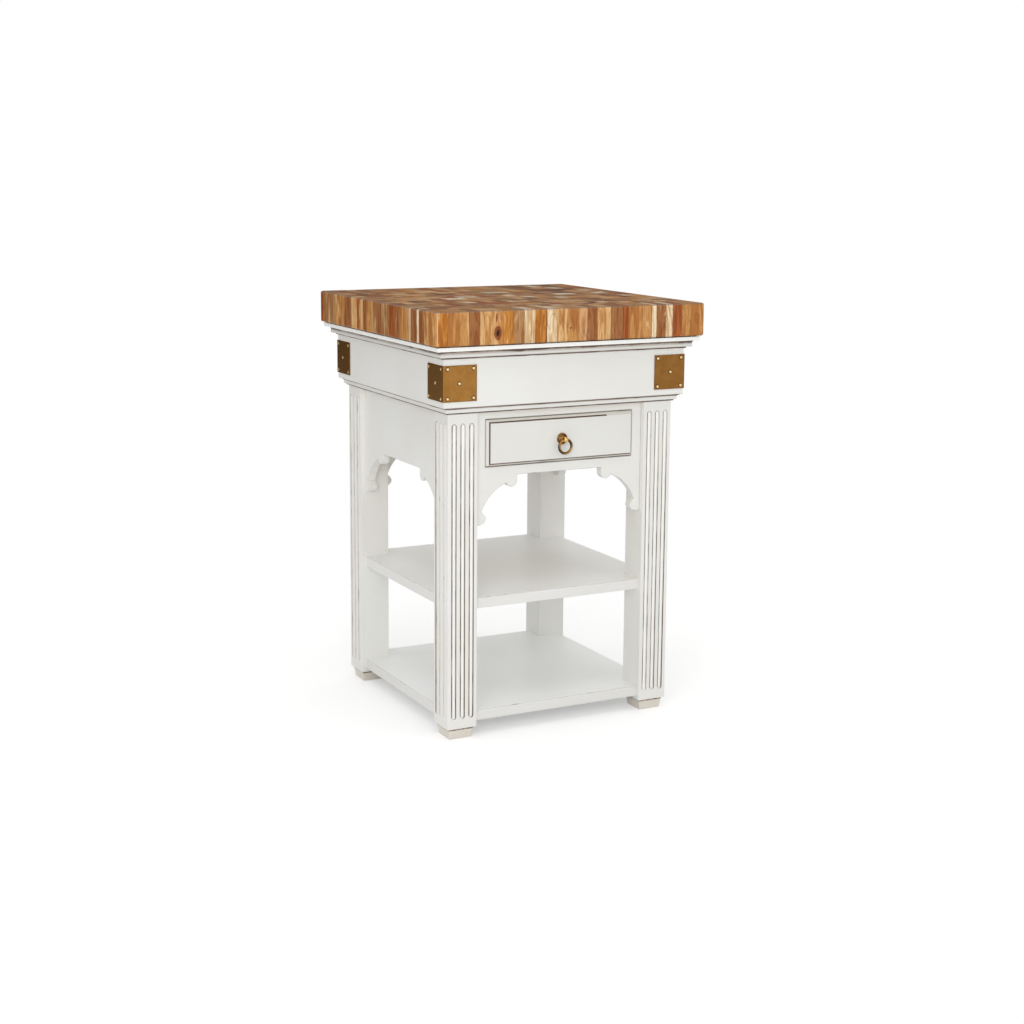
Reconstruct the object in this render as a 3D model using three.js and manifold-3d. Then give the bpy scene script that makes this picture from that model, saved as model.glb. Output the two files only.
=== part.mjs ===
// Kitchen butcher block table: an end-grain block on a painted frame with four fluted legs,
// two open shelves, scalloped aprons, a corniced frieze with corner plates, and one drawer.
// Millimetres, +Z up. The origin is on the floor under the middle of the table.
// The drawer faces -Y and opens that way.

import * as THREE from 'three';
import { mergeVertices } from 'three/addons/utils/BufferGeometryUtils.js';
import Module from 'manifold-3d';

const wasm = await Module();
wasm.setup();

// Whole table
const overallHeight = 914;
const jointGap = 0.3; // left between pieces that seat on each other
const overrun = 2; // how far a cutter reaches past what it cuts

// End-grain block
const slabSide = 639;
const slabOverhang = 49.8; // beyond the outer faces of the legs
const slabThickness = 71;
const slabCornerRadius = 4;
const slabEdgeRadius = 3;

// Legs and their stopped flutes
const legWidth = 68.5;
const fluteWidth = 11;
const fluteDepth = 4;
const flutePitch = 20.2;
const fluteEndMargin = 21.5; // plain leg above and below the flutes
const fluteCount = 3;

// Feet, each with a round spigot up into its leg
const footHeight = 24;
const footTopInset = 5;
const footBottomInset = 8.6;
const spigotRadius = 8;
const spigotLength = 18;

// Frieze boards, planted on the outside of the legs
const friezeThickness = 18.2;
const friezeHeight = 129;

// Cornice planted on the frieze, with a shadow line between it and the block
const corniceShadowLine = 1.9;
const corniceProjection = 24.7;
const corniceBand = 8.4;
const corniceSoffit = 8.5;
const corniceCoveDrop = 9.5;
const corniceCoveDepth = 3.4;
const corniceFillet = 4.5;
const corniceFootReturn = 9.6;
const corniceFootDrop = 4;

// How deep the mouldings' coves bow, as a share of their chord
const coveBowShare = 1 / 6;

// Base moulding under the frieze
const mouldingProjection = 14;
const mouldingLip = 1;
const mouldingCoveDrop = 6;
const mouldingCoveDepth = 5.6;
const mouldingFillet = 4.5;
const mouldingFootReturn = 4.4;
const mouldingFootDrop = 3.2;

// Aprons with their carved brackets, set back from the faces of the legs
const setback = 12.1;
const apronThickness = 18;
const archRail = 20; // wood between the drawer opening and the flat of the arch
const bracketWidth = 99;
const lobeRadius = 13;
const lobeDrop = 12.5;
const lobeEndAngle = 18;
const bracketSweep = 9.2;
const notchInset = 15;
const notchDrop = 75;
const bumpInset = 8;
const bumpDrop = 89;
const bumpWidth = 17.7;
const bumpHeight = 13.8;
const bumpShoulderBow = 1.2;

// Tenons of the aprons and the top rails
const tenonLength = 20;
const tenonThickness = 9;
const tenonShoulder = 12;

// Top rails between the legs, behind the frieze and the base moulding
const railThickness = 24;

// Shelves, housed in the legs
const middleShelfTop = 302.3;
const bottomShelfTop = 56;
const shelfThickness = 23.5;
const housingDepth = 6;

// Cleats glued to the side rails, and the countersunk screws up through them into the block
const cleatWidth = 24;
const cleatHeight = 26;
const cleatEndSpace = 12;
const screwEndSpace = 55;
const screwLength = 45;
const screwRadius = 2.2;
const screwHeadRadius = 4.4;
const screwHeadHeight = 2.8;

// Brass corner plates and their domed tacks
const plateThickness = 1.5;
const plateLeaf = 76.5;
const plateHeight = 75;
const tackFoldInset = 10; // from the fold of the plate
const tackEndInset = 7.8; // from the free end of a leaf
const tackLevelInset = 7; // from the top and the foot of the plate
const middleTackInset = 36.6; // from the fold of the plate
const tackHeadRadius = 3.8;
const tackHeadHeight = 2.4;
const tackShankRadius = 1.1;
const tackShankLength = 7;

// Drawer opening and drawer
const openingStile = 23.1; // wood between the opening and each leg
const openingHeight = 102.2;
const openingDrop = 31.6; // from the foot of the frieze to the opening
const drawerClearance = 1.5;
const drawerFrontThickness = 20;
const drawerEndSpace = 67.2; // between the back of the drawer and the back apron
const drawerSideThickness = 12;
const drawerBackThickness = 12;
const drawerBottomThickness = 6;
const drawerBottomRaise = 8;
const grooveDepth = 5;
const rimWidth = 6.2;
const rimRise = 8.4;
const fieldRise = 0.8;

// Runners, kickers and stops
const runnerLedge = 16;
const runnerThickness = 12;
const guideHeight = 34;
const kickerThickness = 15;
const slideClearance = 0.5;
const stubLength = 8;
const stubShoulder = 4;
const stopLength = 18;
const stopHeight = 12;

// Ring pull
const rosetteRadius = 12.5;
const rosetteThickness = 7;
const rosetteRimHeight = 2.4;
const rosetteGrooveDepth = 0.9;
const pullStandoff = 15; // from the field of the drawer front to the eye
const knobRadius = 6.2;
const knobFlat = 4.4;
const neckRadius = 3.2;
const shankRadius = 2.2;
const shankClearance = 0.3;
const shankEnd = 9; // thread that stands out inside the drawer
const ringRadius = 14.8;
const ringWireRadius = 2.8;
const eyeClearance = 0.9;
const nutRadius = 5.2;
const nutHeight = 4;
const washerRadius = 7.5;
const washerThickness = 1.2;

// Facets of round shapes
const roundSides = 16;
const rosetteSides = 24;
const smallSides = 6;
const screwSides = 8;
const fluteSides = 12;
const fluteCapRings = 3;
const curveSteps = 8;
const coveSteps = 4;
const ringSteps = 24;
const ringSides = 8;

// Levels, from the top down and from the floor up
const slabUnderside = overallHeight - slabThickness;
const frameTop = slabUnderside - jointGap;
const friezeBottom = frameTop - friezeHeight;
const corniceTop = slabUnderside - corniceShadowLine;
const corniceHeight = corniceBand + corniceCoveDrop + corniceFillet + corniceFootDrop;
const corniceBottom = corniceTop - corniceHeight;
const mouldingHeight = mouldingLip + mouldingCoveDrop + mouldingFillet + mouldingFootDrop;
const mouldingTop = friezeBottom - jointGap;
const mouldingBottom = mouldingTop - mouldingHeight;
const openingTop = friezeBottom - openingDrop;
const openingBottom = openingTop - openingHeight;
const openingMiddle = (openingTop + openingBottom) / 2;
const archTop = openingBottom - archRail;
const railBottom = mouldingBottom;
const apronTop = railBottom - jointGap;
const bracketFoot = archTop - bumpDrop;

// Distances from the middle of the table
const frameOuter = slabSide / 2 - slabOverhang;
const legInner = frameOuter - legWidth;
const legCentre = frameOuter - legWidth / 2;
const friezeInner = frameOuter + jointGap;
const friezeOuter = friezeInner + friezeThickness;
const plateInner = friezeOuter + jointGap;
const plateOuter = plateInner + plateThickness;
const apronOuter = frameOuter - setback;
const apronInner = apronOuter - apronThickness;
const railInner = frameOuter - railThickness;
const openingHalf = legInner - openingStile;

// Angles are in degrees in the outlines and in radians in the turns
const rightAngle = 90;
const quarterTurn = Math.PI / 2;

// Solids in and out of the boolean library
function solidOf(geometry) {
  const bare = geometry.index ? geometry.clone() : mergeVertices(geometry);
  bare.deleteAttribute('normal');
  bare.deleteAttribute('uv');
  const merged = mergeVertices(bare);
  const index = merged.index.array;
  const corners = [];
  for (let i = 0; i < index.length; i += 3) {
    const [a, b, c] = [index[i], index[i + 1], index[i + 2]];
    if (a !== b && b !== c && c !== a) corners.push(a, b, c);
  }
  return new wasm.Manifold(new wasm.Mesh({
    numProp: 3,
    vertProperties: Float32Array.from(merged.attributes.position.array),
    triVerts: Uint32Array.from(corners),
  }));
}

function geometryOf(solid) {
  const mesh = solid.getMesh();
  const geometry = new THREE.BufferGeometry();
  geometry.setAttribute('position', new THREE.BufferAttribute(mesh.vertProperties, 3));
  geometry.setIndex(new THREE.BufferAttribute(mesh.triVerts, 1));
  geometry.computeVertexNormals();
  return geometry;
}

function cut(body, cutters) {
  let solid = solidOf(body);
  for (const cutter of cutters) solid = solid.subtract(solidOf(cutter));
  return geometryOf(solid);
}

function join(pieces) {
  let solid = solidOf(pieces[0]);
  for (const piece of pieces.slice(1)) solid = solid.add(solidOf(piece));
  return geometryOf(solid);
}

// A box between two opposite corners, given in any order
function block(x0, x1, y0, y1, z0, z1) {
  const geometry = new THREE.BoxGeometry(Math.abs(x1 - x0), Math.abs(y1 - y0), Math.abs(z1 - z0));
  geometry.translate((x0 + x1) / 2, (y0 + y1) / 2, (z0 + z1) / 2);
  return geometry;
}

// A box whose corners beyond a level of one axis are drawn in along the others by an inset each
function taperedBlock(box, axis, level, insets) {
  const position = box.attributes.position;
  const middle = new THREE.Vector3();
  box.computeBoundingBox();
  box.boundingBox.getCenter(middle);
  for (let i = 0; i < position.count; i += 1) {
    const point = new THREE.Vector3().fromBufferAttribute(position, i);
    const beyond = Math.sign(level - middle[axis]) * (point[axis] - middle[axis]) > 0;
    for (const [other, inset] of Object.entries(insets)) {
      if (beyond) point[other] -= Math.sign(point[other] - middle[other]) * inset;
    }
    position.setXYZ(i, point.x, point.y, point.z);
  }
  return box;
}

// A round rod along Z from z0 to z1
function rod(radius, z0, z1, sides) {
  const geometry = new THREE.CylinderGeometry(radius, radius, z1 - z0, sides);
  geometry.rotateX(quarterTurn);
  geometry.translate(0, 0, (z0 + z1) / 2);
  return geometry;
}

// A turned piece about Z, its profile given as [radius, height] from the low end of the axis up
function turned(profile, sides) {
  const points = profile.map(([radius, height]) => new THREE.Vector2(radius, height));
  const geometry = new THREE.LatheGeometry(points, sides);
  geometry.rotateX(quarterTurn);
  return geometry;
}

// Turns a piece made along +Z to point along an axis, then carries it to its place
function pointed(geometry, direction, x, y, z) {
  const turn = new THREE.Quaternion().setFromUnitVectors(new THREE.Vector3(0, 0, 1), direction);
  geometry.applyQuaternion(turn);
  geometry.translate(x, y, z);
  return geometry;
}

function arcPoints(centreX, centreY, radius, fromAngle, toAngle, steps) {
  const points = [];
  for (let i = 0; i <= steps; i += 1) {
    const angle = THREE.MathUtils.degToRad(fromAngle + (toAngle - fromAngle) * (i / steps));
    points.push(new THREE.Vector2(centreX + radius * Math.cos(angle), centreY + radius * Math.sin(angle)));
  }
  return points;
}

// Points between two ends on a shallow arc that bows to the left of the way from start to end
function bowedPoints(start, end, bow, steps) {
  const chord = end.clone().sub(start);
  const side = new THREE.Vector2(-chord.y, chord.x).normalize();
  const points = [];
  for (let i = 1; i < steps; i += 1) {
    const share = i / steps;
    const rise = bow * (1 - (2 * share - 1) ** 2);
    points.push(start.clone().addScaledVector(chord, share).addScaledVector(side, rise));
  }
  return points;
}

// A strip with a section of [outward, up] points, mitred at both ends, on the front side.
// Its back stands at backDistance from the middle of the table.
function mitredStrip(section, backDistance) {
  const shape = new THREE.Shape(section.map(([out, up]) => new THREE.Vector2(out, up)));
  const geometry = new THREE.ExtrudeGeometry(shape, { depth: 1, bevelEnabled: false });
  const position = geometry.attributes.position;
  const mitreGap = jointGap / Math.SQRT2;
  for (let i = 0; i < position.count; i += 1) {
    const distance = backDistance + position.getX(i);
    const end = 1 - 2 * position.getZ(i);
    position.setXYZ(i, end * (distance - mitreGap), -distance, position.getY(i));
  }
  return geometry;
}

// Materials, with the colours of the finished table
const paint = { color: 0xe9e8e2, roughness: 0.5, metalness: 0 };
const bareWood = { color: 0xc8a67a, roughness: 0.7, metalness: 0 };
const blockWood = { color: 0xb5824e, roughness: 0.45, metalness: 0 };
const brass = { color: 0xa9803f, roughness: 0.35, metalness: 1 };
const steel = { color: 0x9a9a98, roughness: 0.4, metalness: 1 };

const table = new THREE.Group();

function addPiece(name, geometry, finish, turn = 0) {
  const mesh = new THREE.Mesh(geometry, new THREE.MeshStandardMaterial(finish));
  mesh.name = name;
  mesh.rotation.z = turn;
  table.add(mesh);
}

const sides = [
  { name: 'front', turn: 0, apron: frontApron },
  { name: 'right', turn: quarterTurn, apron: apronBoard },
  { name: 'back', turn: 2 * quarterTurn, apron: mortisedApron },
  { name: 'left', turn: -quarterTurn, apron: apronBoard },
];
const corners = [
  { name: 'front_left', sx: -1, sy: -1, turn: 0 },
  { name: 'front_right', sx: 1, sy: -1, turn: quarterTurn },
  { name: 'back_right', sx: 1, sy: 1, turn: 2 * quarterTurn },
  { name: 'back_left', sx: -1, sy: 1, turn: -quarterTurn },
];

// End-grain block, with eased edges and rounded corners

function endGrainBlock() {
  const arcCentre = slabSide / 2 - slabCornerRadius;
  const outline = [];
  for (const [quarter, sx, sy] of [[0, 1, 1], [1, -1, 1], [2, -1, -1], [3, 1, -1]]) {
    const [from, to] = [quarter * rightAngle, (quarter + 1) * rightAngle];
    outline.push(...arcPoints(sx * arcCentre, sy * arcCentre, slabCornerRadius, from, to, coveSteps));
  }
  const geometry = new THREE.ExtrudeGeometry(new THREE.Shape(outline), {
    depth: slabThickness - 2 * slabEdgeRadius,
    bevelThickness: slabEdgeRadius,
    bevelSize: slabEdgeRadius,
    bevelOffset: -slabEdgeRadius,
    bevelSegments: 2,
  });
  geometry.translate(0, 0, slabUnderside + slabEdgeRadius);
  return geometry;
}

// Legs: posts with three stopped flutes on each outer face, mortises and shelf housings

const fluteTop = mouldingBottom - fluteEndMargin;
const fluteBottom = footHeight + fluteEndMargin;
// The cutter is a round-ended bar whose axis stands off the face, so that the flute has its own
// width and depth
const fluteRadius = (fluteWidth ** 2 / 4 + fluteDepth ** 2) / (2 * fluteDepth);
const fluteStandoff = fluteRadius - fluteDepth;

function fluteCutters(sx, sy) {
  const straight = fluteTop - fluteBottom - fluteWidth;
  const middle = (fluteTop + fluteBottom) / 2;
  const axisDistance = frameOuter + fluteStandoff;
  const cutters = [];
  for (let i = 0; i < fluteCount; i += 1) {
    const along = legCentre + (i - (fluteCount - 1) / 2) * flutePitch;
    for (const [x, y] of [[along, axisDistance], [axisDistance, along]]) {
      const bar = new THREE.CapsuleGeometry(fluteRadius, straight, fluteCapRings, fluteSides);
      bar.rotateX(quarterTurn);
      bar.translate(sx * x, sy * y, middle);
      cutters.push(bar);
    }
  }
  return cutters;
}

const apronTenonTop = apronTop - tenonShoulder;
const apronTenonBottom = archTop;
const railTenonTop = frameTop - tenonShoulder;
const railTenonBottom = railBottom + tenonShoulder;
const apronMiddle = (apronOuter + apronInner) / 2;
const railMiddle = (frameOuter + railInner) / 2;

// Mortises for one kind of tenon, on both inner faces of a leg
function mortiseCutters(sx, sy, middle, low, high) {
  const halfWidth = tenonThickness / 2 + jointGap;
  const mouth = legInner - overrun;
  const end = legInner + tenonLength + jointGap;
  return [
    block(sx * mouth, sx * end, sy * (middle - halfWidth), sy * (middle + halfWidth), low, high),
    block(sx * (middle - halfWidth), sx * (middle + halfWidth), sy * mouth, sy * end, low, high),
  ];
}

function housingCutters(sx, sy, shelfTop) {
  const low = shelfTop - shelfThickness - jointGap;
  const high = shelfTop + jointGap;
  const mouth = legInner - overrun;
  const floor = legInner + housingDepth;
  const stop = apronOuter + jointGap;
  return [
    block(sx * mouth, sx * floor, sy * mouth, sy * stop, low, high),
    block(sx * mouth, sx * stop, sy * mouth, sy * floor, low, high),
  ];
}

const footTop = footHeight - jointGap;
const spigotTop = footTop + spigotLength;

function leg(sx, sy) {
  const body = block(sx * legInner, sx * frameOuter, sy * legInner, sy * frameOuter, footHeight, frameTop);
  const spigotHole = rod(spigotRadius + jointGap, footHeight - overrun, spigotTop + jointGap, roundSides);
  spigotHole.translate(sx * legCentre, sy * legCentre, 0);
  return cut(body, [
    ...fluteCutters(sx, sy),
    ...mortiseCutters(sx, sy, apronMiddle, apronTenonBottom - jointGap, apronTenonTop + jointGap),
    ...mortiseCutters(sx, sy, railMiddle, railTenonBottom - jointGap, railTenonTop + jointGap),
    ...housingCutters(sx, sy, middleShelfTop),
    ...housingCutters(sx, sy, bottomShelfTop),
    spigotHole,
  ]);
}

// Feet, tapered in to the floor

function foot(sx, sy) {
  const inner = legInner + footTopInset;
  const outer = frameOuter - footTopInset;
  const body = block(sx * inner, sx * outer, sy * inner, sy * outer, 0, footTop);
  const taper = footBottomInset - footTopInset;
  taperedBlock(body, 'z', 0, { x: taper, y: taper });
  const spigot = rod(spigotRadius, footTop / 2, spigotTop, roundSides);
  spigot.translate(sx * legCentre, sy * legCentre, 0);
  return join([body, spigot]);
}

// Mouldings and frieze, one strip a side with mitred corners

function coveSection(fromOut, fromUp, toOut, toUp) {
  const start = new THREE.Vector2(fromOut, fromUp);
  const end = new THREE.Vector2(toOut, toUp);
  const bow = coveBowShare * start.distanceTo(end);
  return bowedPoints(start, end, -bow, coveSteps).map((point) => [point.x, point.y]);
}

function cornice() {
  const soffitOut = corniceProjection - corniceSoffit;
  const filletOut = soffitOut - corniceCoveDepth;
  const bandBottom = corniceTop - corniceBand;
  const coveBottom = bandBottom - corniceCoveDrop;
  const filletBottom = coveBottom - corniceFillet;
  return mitredStrip([
    [0, corniceTop],
    [0, corniceBottom],
    [filletOut - corniceFootReturn, corniceBottom],
    [filletOut - corniceFootReturn, filletBottom],
    [filletOut, filletBottom],
    [filletOut, coveBottom],
    ...coveSection(filletOut, coveBottom, soffitOut, bandBottom),
    [soffitOut, bandBottom],
    [corniceProjection, bandBottom],
    [corniceProjection, corniceTop],
  ], friezeOuter + jointGap);
}

function baseMoulding() {
  const lipBottom = mouldingTop - mouldingLip;
  const filletOut = mouldingProjection - mouldingCoveDepth;
  const coveBottom = lipBottom - mouldingCoveDrop;
  const filletBottom = coveBottom - mouldingFillet;
  const footOut = filletOut - mouldingFootReturn;
  return mitredStrip([
    [0, mouldingTop],
    [0, mouldingBottom],
    [footOut, mouldingBottom],
    [footOut, filletBottom],
    [filletOut, filletBottom],
    [filletOut, coveBottom],
    ...coveSection(filletOut, coveBottom, mouldingProjection, lipBottom),
    [mouldingProjection, lipBottom],
    [mouldingProjection, mouldingTop],
  ], frameOuter + jointGap);
}

// Tacks on one leaf of a plate, as [distance from the outer corner, height]
const plateMiddle = (corniceBottom + friezeBottom) / 2;
const plateTop = plateMiddle + plateHeight / 2;
const plateBottom = plateMiddle - plateHeight / 2;
const tackSpots = [
  [tackFoldInset, plateTop - tackLevelInset],
  [plateLeaf - tackEndInset, plateTop - tackLevelInset],
  [middleTackInset, plateMiddle],
  [tackFoldInset, plateBottom + tackLevelInset],
  [plateLeaf - tackEndInset, plateBottom + tackLevelInset],
];

function frieze() {
  const board = mitredStrip([
    [0, frameTop],
    [0, friezeBottom],
    [friezeThickness, friezeBottom],
    [friezeThickness, frameTop],
  ], friezeInner);
  const inward = new THREE.Vector3(0, 1, 0);
  const depth = tackShankLength - plateThickness + jointGap;
  const holes = [];
  for (const [along, height] of tackSpots) {
    for (const side of [-1, 1]) {
      const hole = rod(tackShankRadius + jointGap, -overrun, depth, smallSides);
      holes.push(pointed(hole, inward, side * (plateOuter - along), -friezeOuter, height));
    }
  }
  return cut(board, holes);
}

// Corner plates, bent round the corners of the frieze, each with its domed tacks driven in

function tack() {
  const shoulderRadius = tackHeadRadius * Math.SQRT1_2;
  const shoulderHeight = tackHeadHeight * Math.SQRT1_2;
  const seat = plateThickness / 2;
  return turned([
    [0, -tackHeadHeight],
    [shoulderRadius, -shoulderHeight],
    [tackHeadRadius, 0],
    [tackHeadRadius, seat],
    [tackShankRadius, seat],
    [tackShankRadius, tackShankLength - tackShankRadius],
    [0, tackShankLength],
  ], smallSides);
}

function cornerPlate() {
  const leafEnd = plateOuter - plateLeaf;
  const outline = new THREE.Shape([
    new THREE.Vector2(-plateOuter, -plateOuter),
    new THREE.Vector2(-leafEnd, -plateOuter),
    new THREE.Vector2(-leafEnd, -plateInner),
    new THREE.Vector2(-plateInner, -plateInner),
    new THREE.Vector2(-plateInner, -leafEnd),
    new THREE.Vector2(-plateOuter, -leafEnd),
  ]);
  const plate = new THREE.ExtrudeGeometry(outline, { depth: plateHeight, bevelEnabled: false });
  plate.translate(0, 0, plateBottom);
  const tacks = tackSpots.flatMap(([along, height]) => {
    const distance = plateOuter - along;
    return [
      pointed(tack(), new THREE.Vector3(0, 1, 0), -distance, -plateOuter, height),
      pointed(tack(), new THREE.Vector3(1, 0, 0), -plateOuter, -distance, height),
    ];
  });
  return join([plate, ...tacks]);
}

// Aprons and top rails

// From the flat of the arch round the lobe, along the sweep to a notch, and round the bump to the leg
function bracketOutline() {
  const lobeX = legInner - bracketWidth + lobeRadius;
  const lobeEnd = 4 * rightAngle - lobeEndAngle;
  const lobe = arcPoints(lobeX, archTop - lobeDrop, lobeRadius, 2 * rightAngle, lobeEnd, curveSteps);
  const notch = new THREE.Vector2(legInner - notchInset, archTop - notchDrop);
  const bumpX = legInner - bumpInset;
  const bumpReach = bumpInset - jointGap; // from the middle of the bump to the end of the apron
  const bumpEnd = 2 * rightAngle + THREE.MathUtils.radToDeg(Math.acos(-bumpReach / bumpWidth));
  const bump = arcPoints(bumpX, 0, bumpWidth, 2 * rightAngle, bumpEnd, curveSteps);
  for (const point of bump) point.y = bracketFoot + point.y * (bumpHeight / bumpWidth);
  return [
    new THREE.Vector2(legInner - bracketWidth, archTop),
    ...lobe,
    ...bowedPoints(lobe[lobe.length - 1], notch, bracketSweep, curveSteps),
    notch,
    ...bowedPoints(notch, bump[0], -bumpShoulderBow, curveSteps),
    ...bump,
  ];
}

function apronBoard() {
  const end = legInner - jointGap;
  const right = bracketOutline();
  const left = right.map((point) => new THREE.Vector2(-point.x, point.y)).reverse();
  const outline = new THREE.Shape([
    ...left,
    ...right,
    new THREE.Vector2(end, apronTop),
    new THREE.Vector2(-end, apronTop),
  ]);
  const board = new THREE.ExtrudeGeometry(outline, { depth: apronThickness, bevelEnabled: false });
  board.rotateX(quarterTurn);
  board.translate(0, -apronInner, 0);
  const tenonEnd = legInner + tenonLength;
  const tenonNear = apronMiddle - tenonThickness / 2;
  const tenonFar = apronMiddle + tenonThickness / 2;
  const tenon = block(-tenonEnd, tenonEnd, -tenonNear, -tenonFar, apronTenonBottom, apronTenonTop);
  return join([board, tenon]);
}

// The front and back aprons have mortises for the stub tenons of the runners and kickers
function mortisedApron() {
  const mortises = [-1, 1].flatMap((side) => stubLevels.map(([low, high]) => block(
    side * (stubInner - jointGap),
    side * (stubOuter + jointGap),
    -apronInner + overrun,
    -apronInner - stubLength - jointGap,
    low - jointGap,
    high + jointGap,
  )));
  return cut(apronBoard(), mortises);
}

function frontApron() {
  const opening = block(
    -openingHalf,
    openingHalf,
    -apronInner + overrun,
    -apronOuter - overrun,
    openingBottom,
    openingTop,
  );
  return cut(mortisedApron(), [opening]);
}

function topRail() {
  const end = legInner - jointGap;
  const board = block(-end, end, -frameOuter, -railInner, railBottom, frameTop);
  const tenonEnd = legInner + tenonLength;
  const tenonNear = railMiddle - tenonThickness / 2;
  const tenonFar = railMiddle + tenonThickness / 2;
  const tenon = block(-tenonEnd, tenonEnd, -tenonNear, -tenonFar, railTenonBottom, railTenonTop);
  return join([board, tenon]);
}

// Cleats, and the screws up through them into the block

const cleatTop = frameTop;
const cleatBottom = cleatTop - cleatHeight;
const cleatOuter = railInner - jointGap;
const cleatInner = cleatOuter - cleatWidth;
const cleatCentre = (cleatOuter + cleatInner) / 2;
const cleatHalfLength = legInner - cleatEndSpace;
const screwReach = cleatHalfLength - screwEndSpace;

// A countersunk wood screw pointing up, its head flush with the underside of a cleat
function blockScrew(sx, sy) {
  const screw = turned([
    [0, 0],
    [screwHeadRadius, 0],
    [screwRadius, screwHeadHeight],
    [screwRadius, screwLength - 2 * screwRadius],
    [0, screwLength],
  ], screwSides);
  screw.translate(sx * cleatCentre, sy * screwReach, cleatBottom);
  return screw;
}

function cleat(sx) {
  const bar = block(sx * cleatInner, sx * cleatOuter, -cleatHalfLength, cleatHalfLength, cleatBottom, cleatTop);
  const holes = [-1, 1].map((sy) => {
    const hole = turned([
      [0, -overrun],
      [screwHeadRadius + jointGap, -overrun],
      [screwHeadRadius + jointGap, 0],
      [screwRadius + jointGap, screwHeadHeight],
      [screwRadius + jointGap, cleatHeight + overrun],
      [0, cleatHeight + overrun],
    ], screwSides);
    hole.translate(sx * cleatCentre, sy * screwReach, cleatBottom);
    return hole;
  });
  return cut(bar, holes);
}

function drilledSlab() {
  const holes = corners.map(({ sx, sy }) => {
    const hole = rod(screwRadius + jointGap, cleatBottom, cleatBottom + screwLength + jointGap, screwSides);
    hole.translate(sx * cleatCentre, sy * screwReach, 0);
    return hole;
  });
  return cut(endGrainBlock(), holes);
}

// Shelves, notched round the legs

function shelf(top) {
  const edge = apronOuter;
  const notch = legInner + housingDepth - jointGap;
  const outline = new THREE.Shape([
    [notch, edge], [notch, notch], [edge, notch],
    [edge, -notch], [notch, -notch], [notch, -edge],
    [-notch, -edge], [-notch, -notch], [-edge, -notch],
    [-edge, notch], [-notch, notch], [-notch, edge],
  ].map(([x, y]) => new THREE.Vector2(x, y)));
  const board = new THREE.ExtrudeGeometry(outline, { depth: shelfThickness, bevelEnabled: false });
  board.translate(0, 0, top - shelfThickness);
  return board;
}

// Runners that carry the drawer, kickers over it, and stops behind it

const guideOuter = legInner - jointGap;
const ledgeInner = openingHalf - runnerLedge;
const runnerEnd = apronInner - jointGap;
const runnerTop = openingBottom;
const runnerLow = runnerTop - runnerThickness;
const kickerLow = openingTop + slideClearance;
const kickerTop = kickerLow + kickerThickness;
const stubInner = openingHalf + stubShoulder;
const stubOuter = guideOuter - stubShoulder;
const stubEnd = apronInner + stubLength;
const stubLevels = [
  [runnerLow + stubShoulder, runnerTop + guideHeight - stubShoulder],
  [kickerLow + stubShoulder, kickerTop - stubShoulder],
];

function stubTenon(sx, [low, high]) {
  return block(sx * stubInner, sx * stubOuter, -stubEnd, stubEnd, low, high);
}

function runner(sx) {
  const guideFace = openingHalf + slideClearance;
  return join([
    block(sx * ledgeInner, sx * guideOuter, -runnerEnd, runnerEnd, runnerLow, runnerTop),
    block(sx * guideFace, sx * guideOuter, -runnerEnd, runnerEnd, runnerLow, runnerTop + guideHeight),
    stubTenon(sx, stubLevels[0]),
  ]);
}

function kicker(sx) {
  return join([
    block(sx * ledgeInner, sx * guideOuter, -runnerEnd, runnerEnd, kickerLow, kickerTop),
    stubTenon(sx, stubLevels[1]),
  ]);
}

function drawerStop(sx) {
  const front = drawerRear + jointGap;
  const low = runnerTop + jointGap;
  return block(sx * ledgeInner, sx * drawerHalf, front, front + stopLength, low, low + stopHeight);
}

// Drawer

const drawerHalf = openingHalf - drawerClearance;
const drawerFace = -apronOuter; // flush with the apron at the rim
const frontBack = drawerFace + drawerFrontThickness;
const drawerRear = apronInner - drawerEndSpace;
const drawerLow = openingBottom + slideClearance;
const drawerSideTop = openingTop - drawerClearance;
const bottomLow = drawerLow + drawerBottomRaise;
const bottomTop = bottomLow + drawerBottomThickness;
const sideInner = drawerHalf - drawerSideThickness;
const fieldFace = drawerFace - rimRise - fieldRise;

function drawerFront() {
  const low = openingBottom + drawerClearance;
  const high = openingTop - drawerClearance;
  const body = block(-drawerHalf, drawerHalf, drawerFace, frontBack, low, high);
  const rim = taperedBlock(
    block(-drawerHalf, drawerHalf, drawerFace - rimRise, drawerFace, low, high),
    'y',
    drawerFace - rimRise,
    { x: rimWidth, z: rimWidth },
  );
  const field = block(
    -drawerHalf + rimWidth,
    drawerHalf - rimWidth,
    fieldFace,
    drawerFace,
    low + rimWidth,
    high - rimWidth,
  );
  const boltHole = rod(shankRadius + shankClearance, fieldFace - overrun, frontBack + overrun, roundSides);
  return cut(join([body, rim, field]), [pointed(boltHole, new THREE.Vector3(0, 1, 0), 0, 0, openingMiddle)]);
}

function grooveFor(face, sx) {
  const panelFront = frontBack;
  return block(
    sx * (face - overrun),
    sx * (face + grooveDepth),
    panelFront - overrun,
    drawerRear + overrun,
    bottomLow - jointGap,
    bottomTop + jointGap,
  );
}

function drawerSide(sx) {
  const board = block(
    sx * sideInner,
    sx * drawerHalf,
    frontBack + jointGap,
    drawerRear,
    drawerLow,
    drawerSideTop,
  );
  return cut(board, [grooveFor(sideInner, sx)]);
}

function drawerBack() {
  const half = sideInner - jointGap;
  return block(-half, half, drawerRear - drawerBackThickness, drawerRear, bottomTop + jointGap, drawerSideTop);
}

function drawerBottom() {
  const half = sideInner + grooveDepth - jointGap;
  return block(-half, half, frontBack + jointGap, drawerRear, bottomLow, bottomTop);
}

// Ring pull: a stepped rosette, a knob with an eye on a threaded shank, the ring, washer and nut

const rosetteBack = fieldFace - jointGap;
const eyeDistance = fieldFace - pullStandoff;
const pullWay = new THREE.Vector3(0, -1, 0);
const shankHole = shankRadius + shankClearance;

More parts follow.
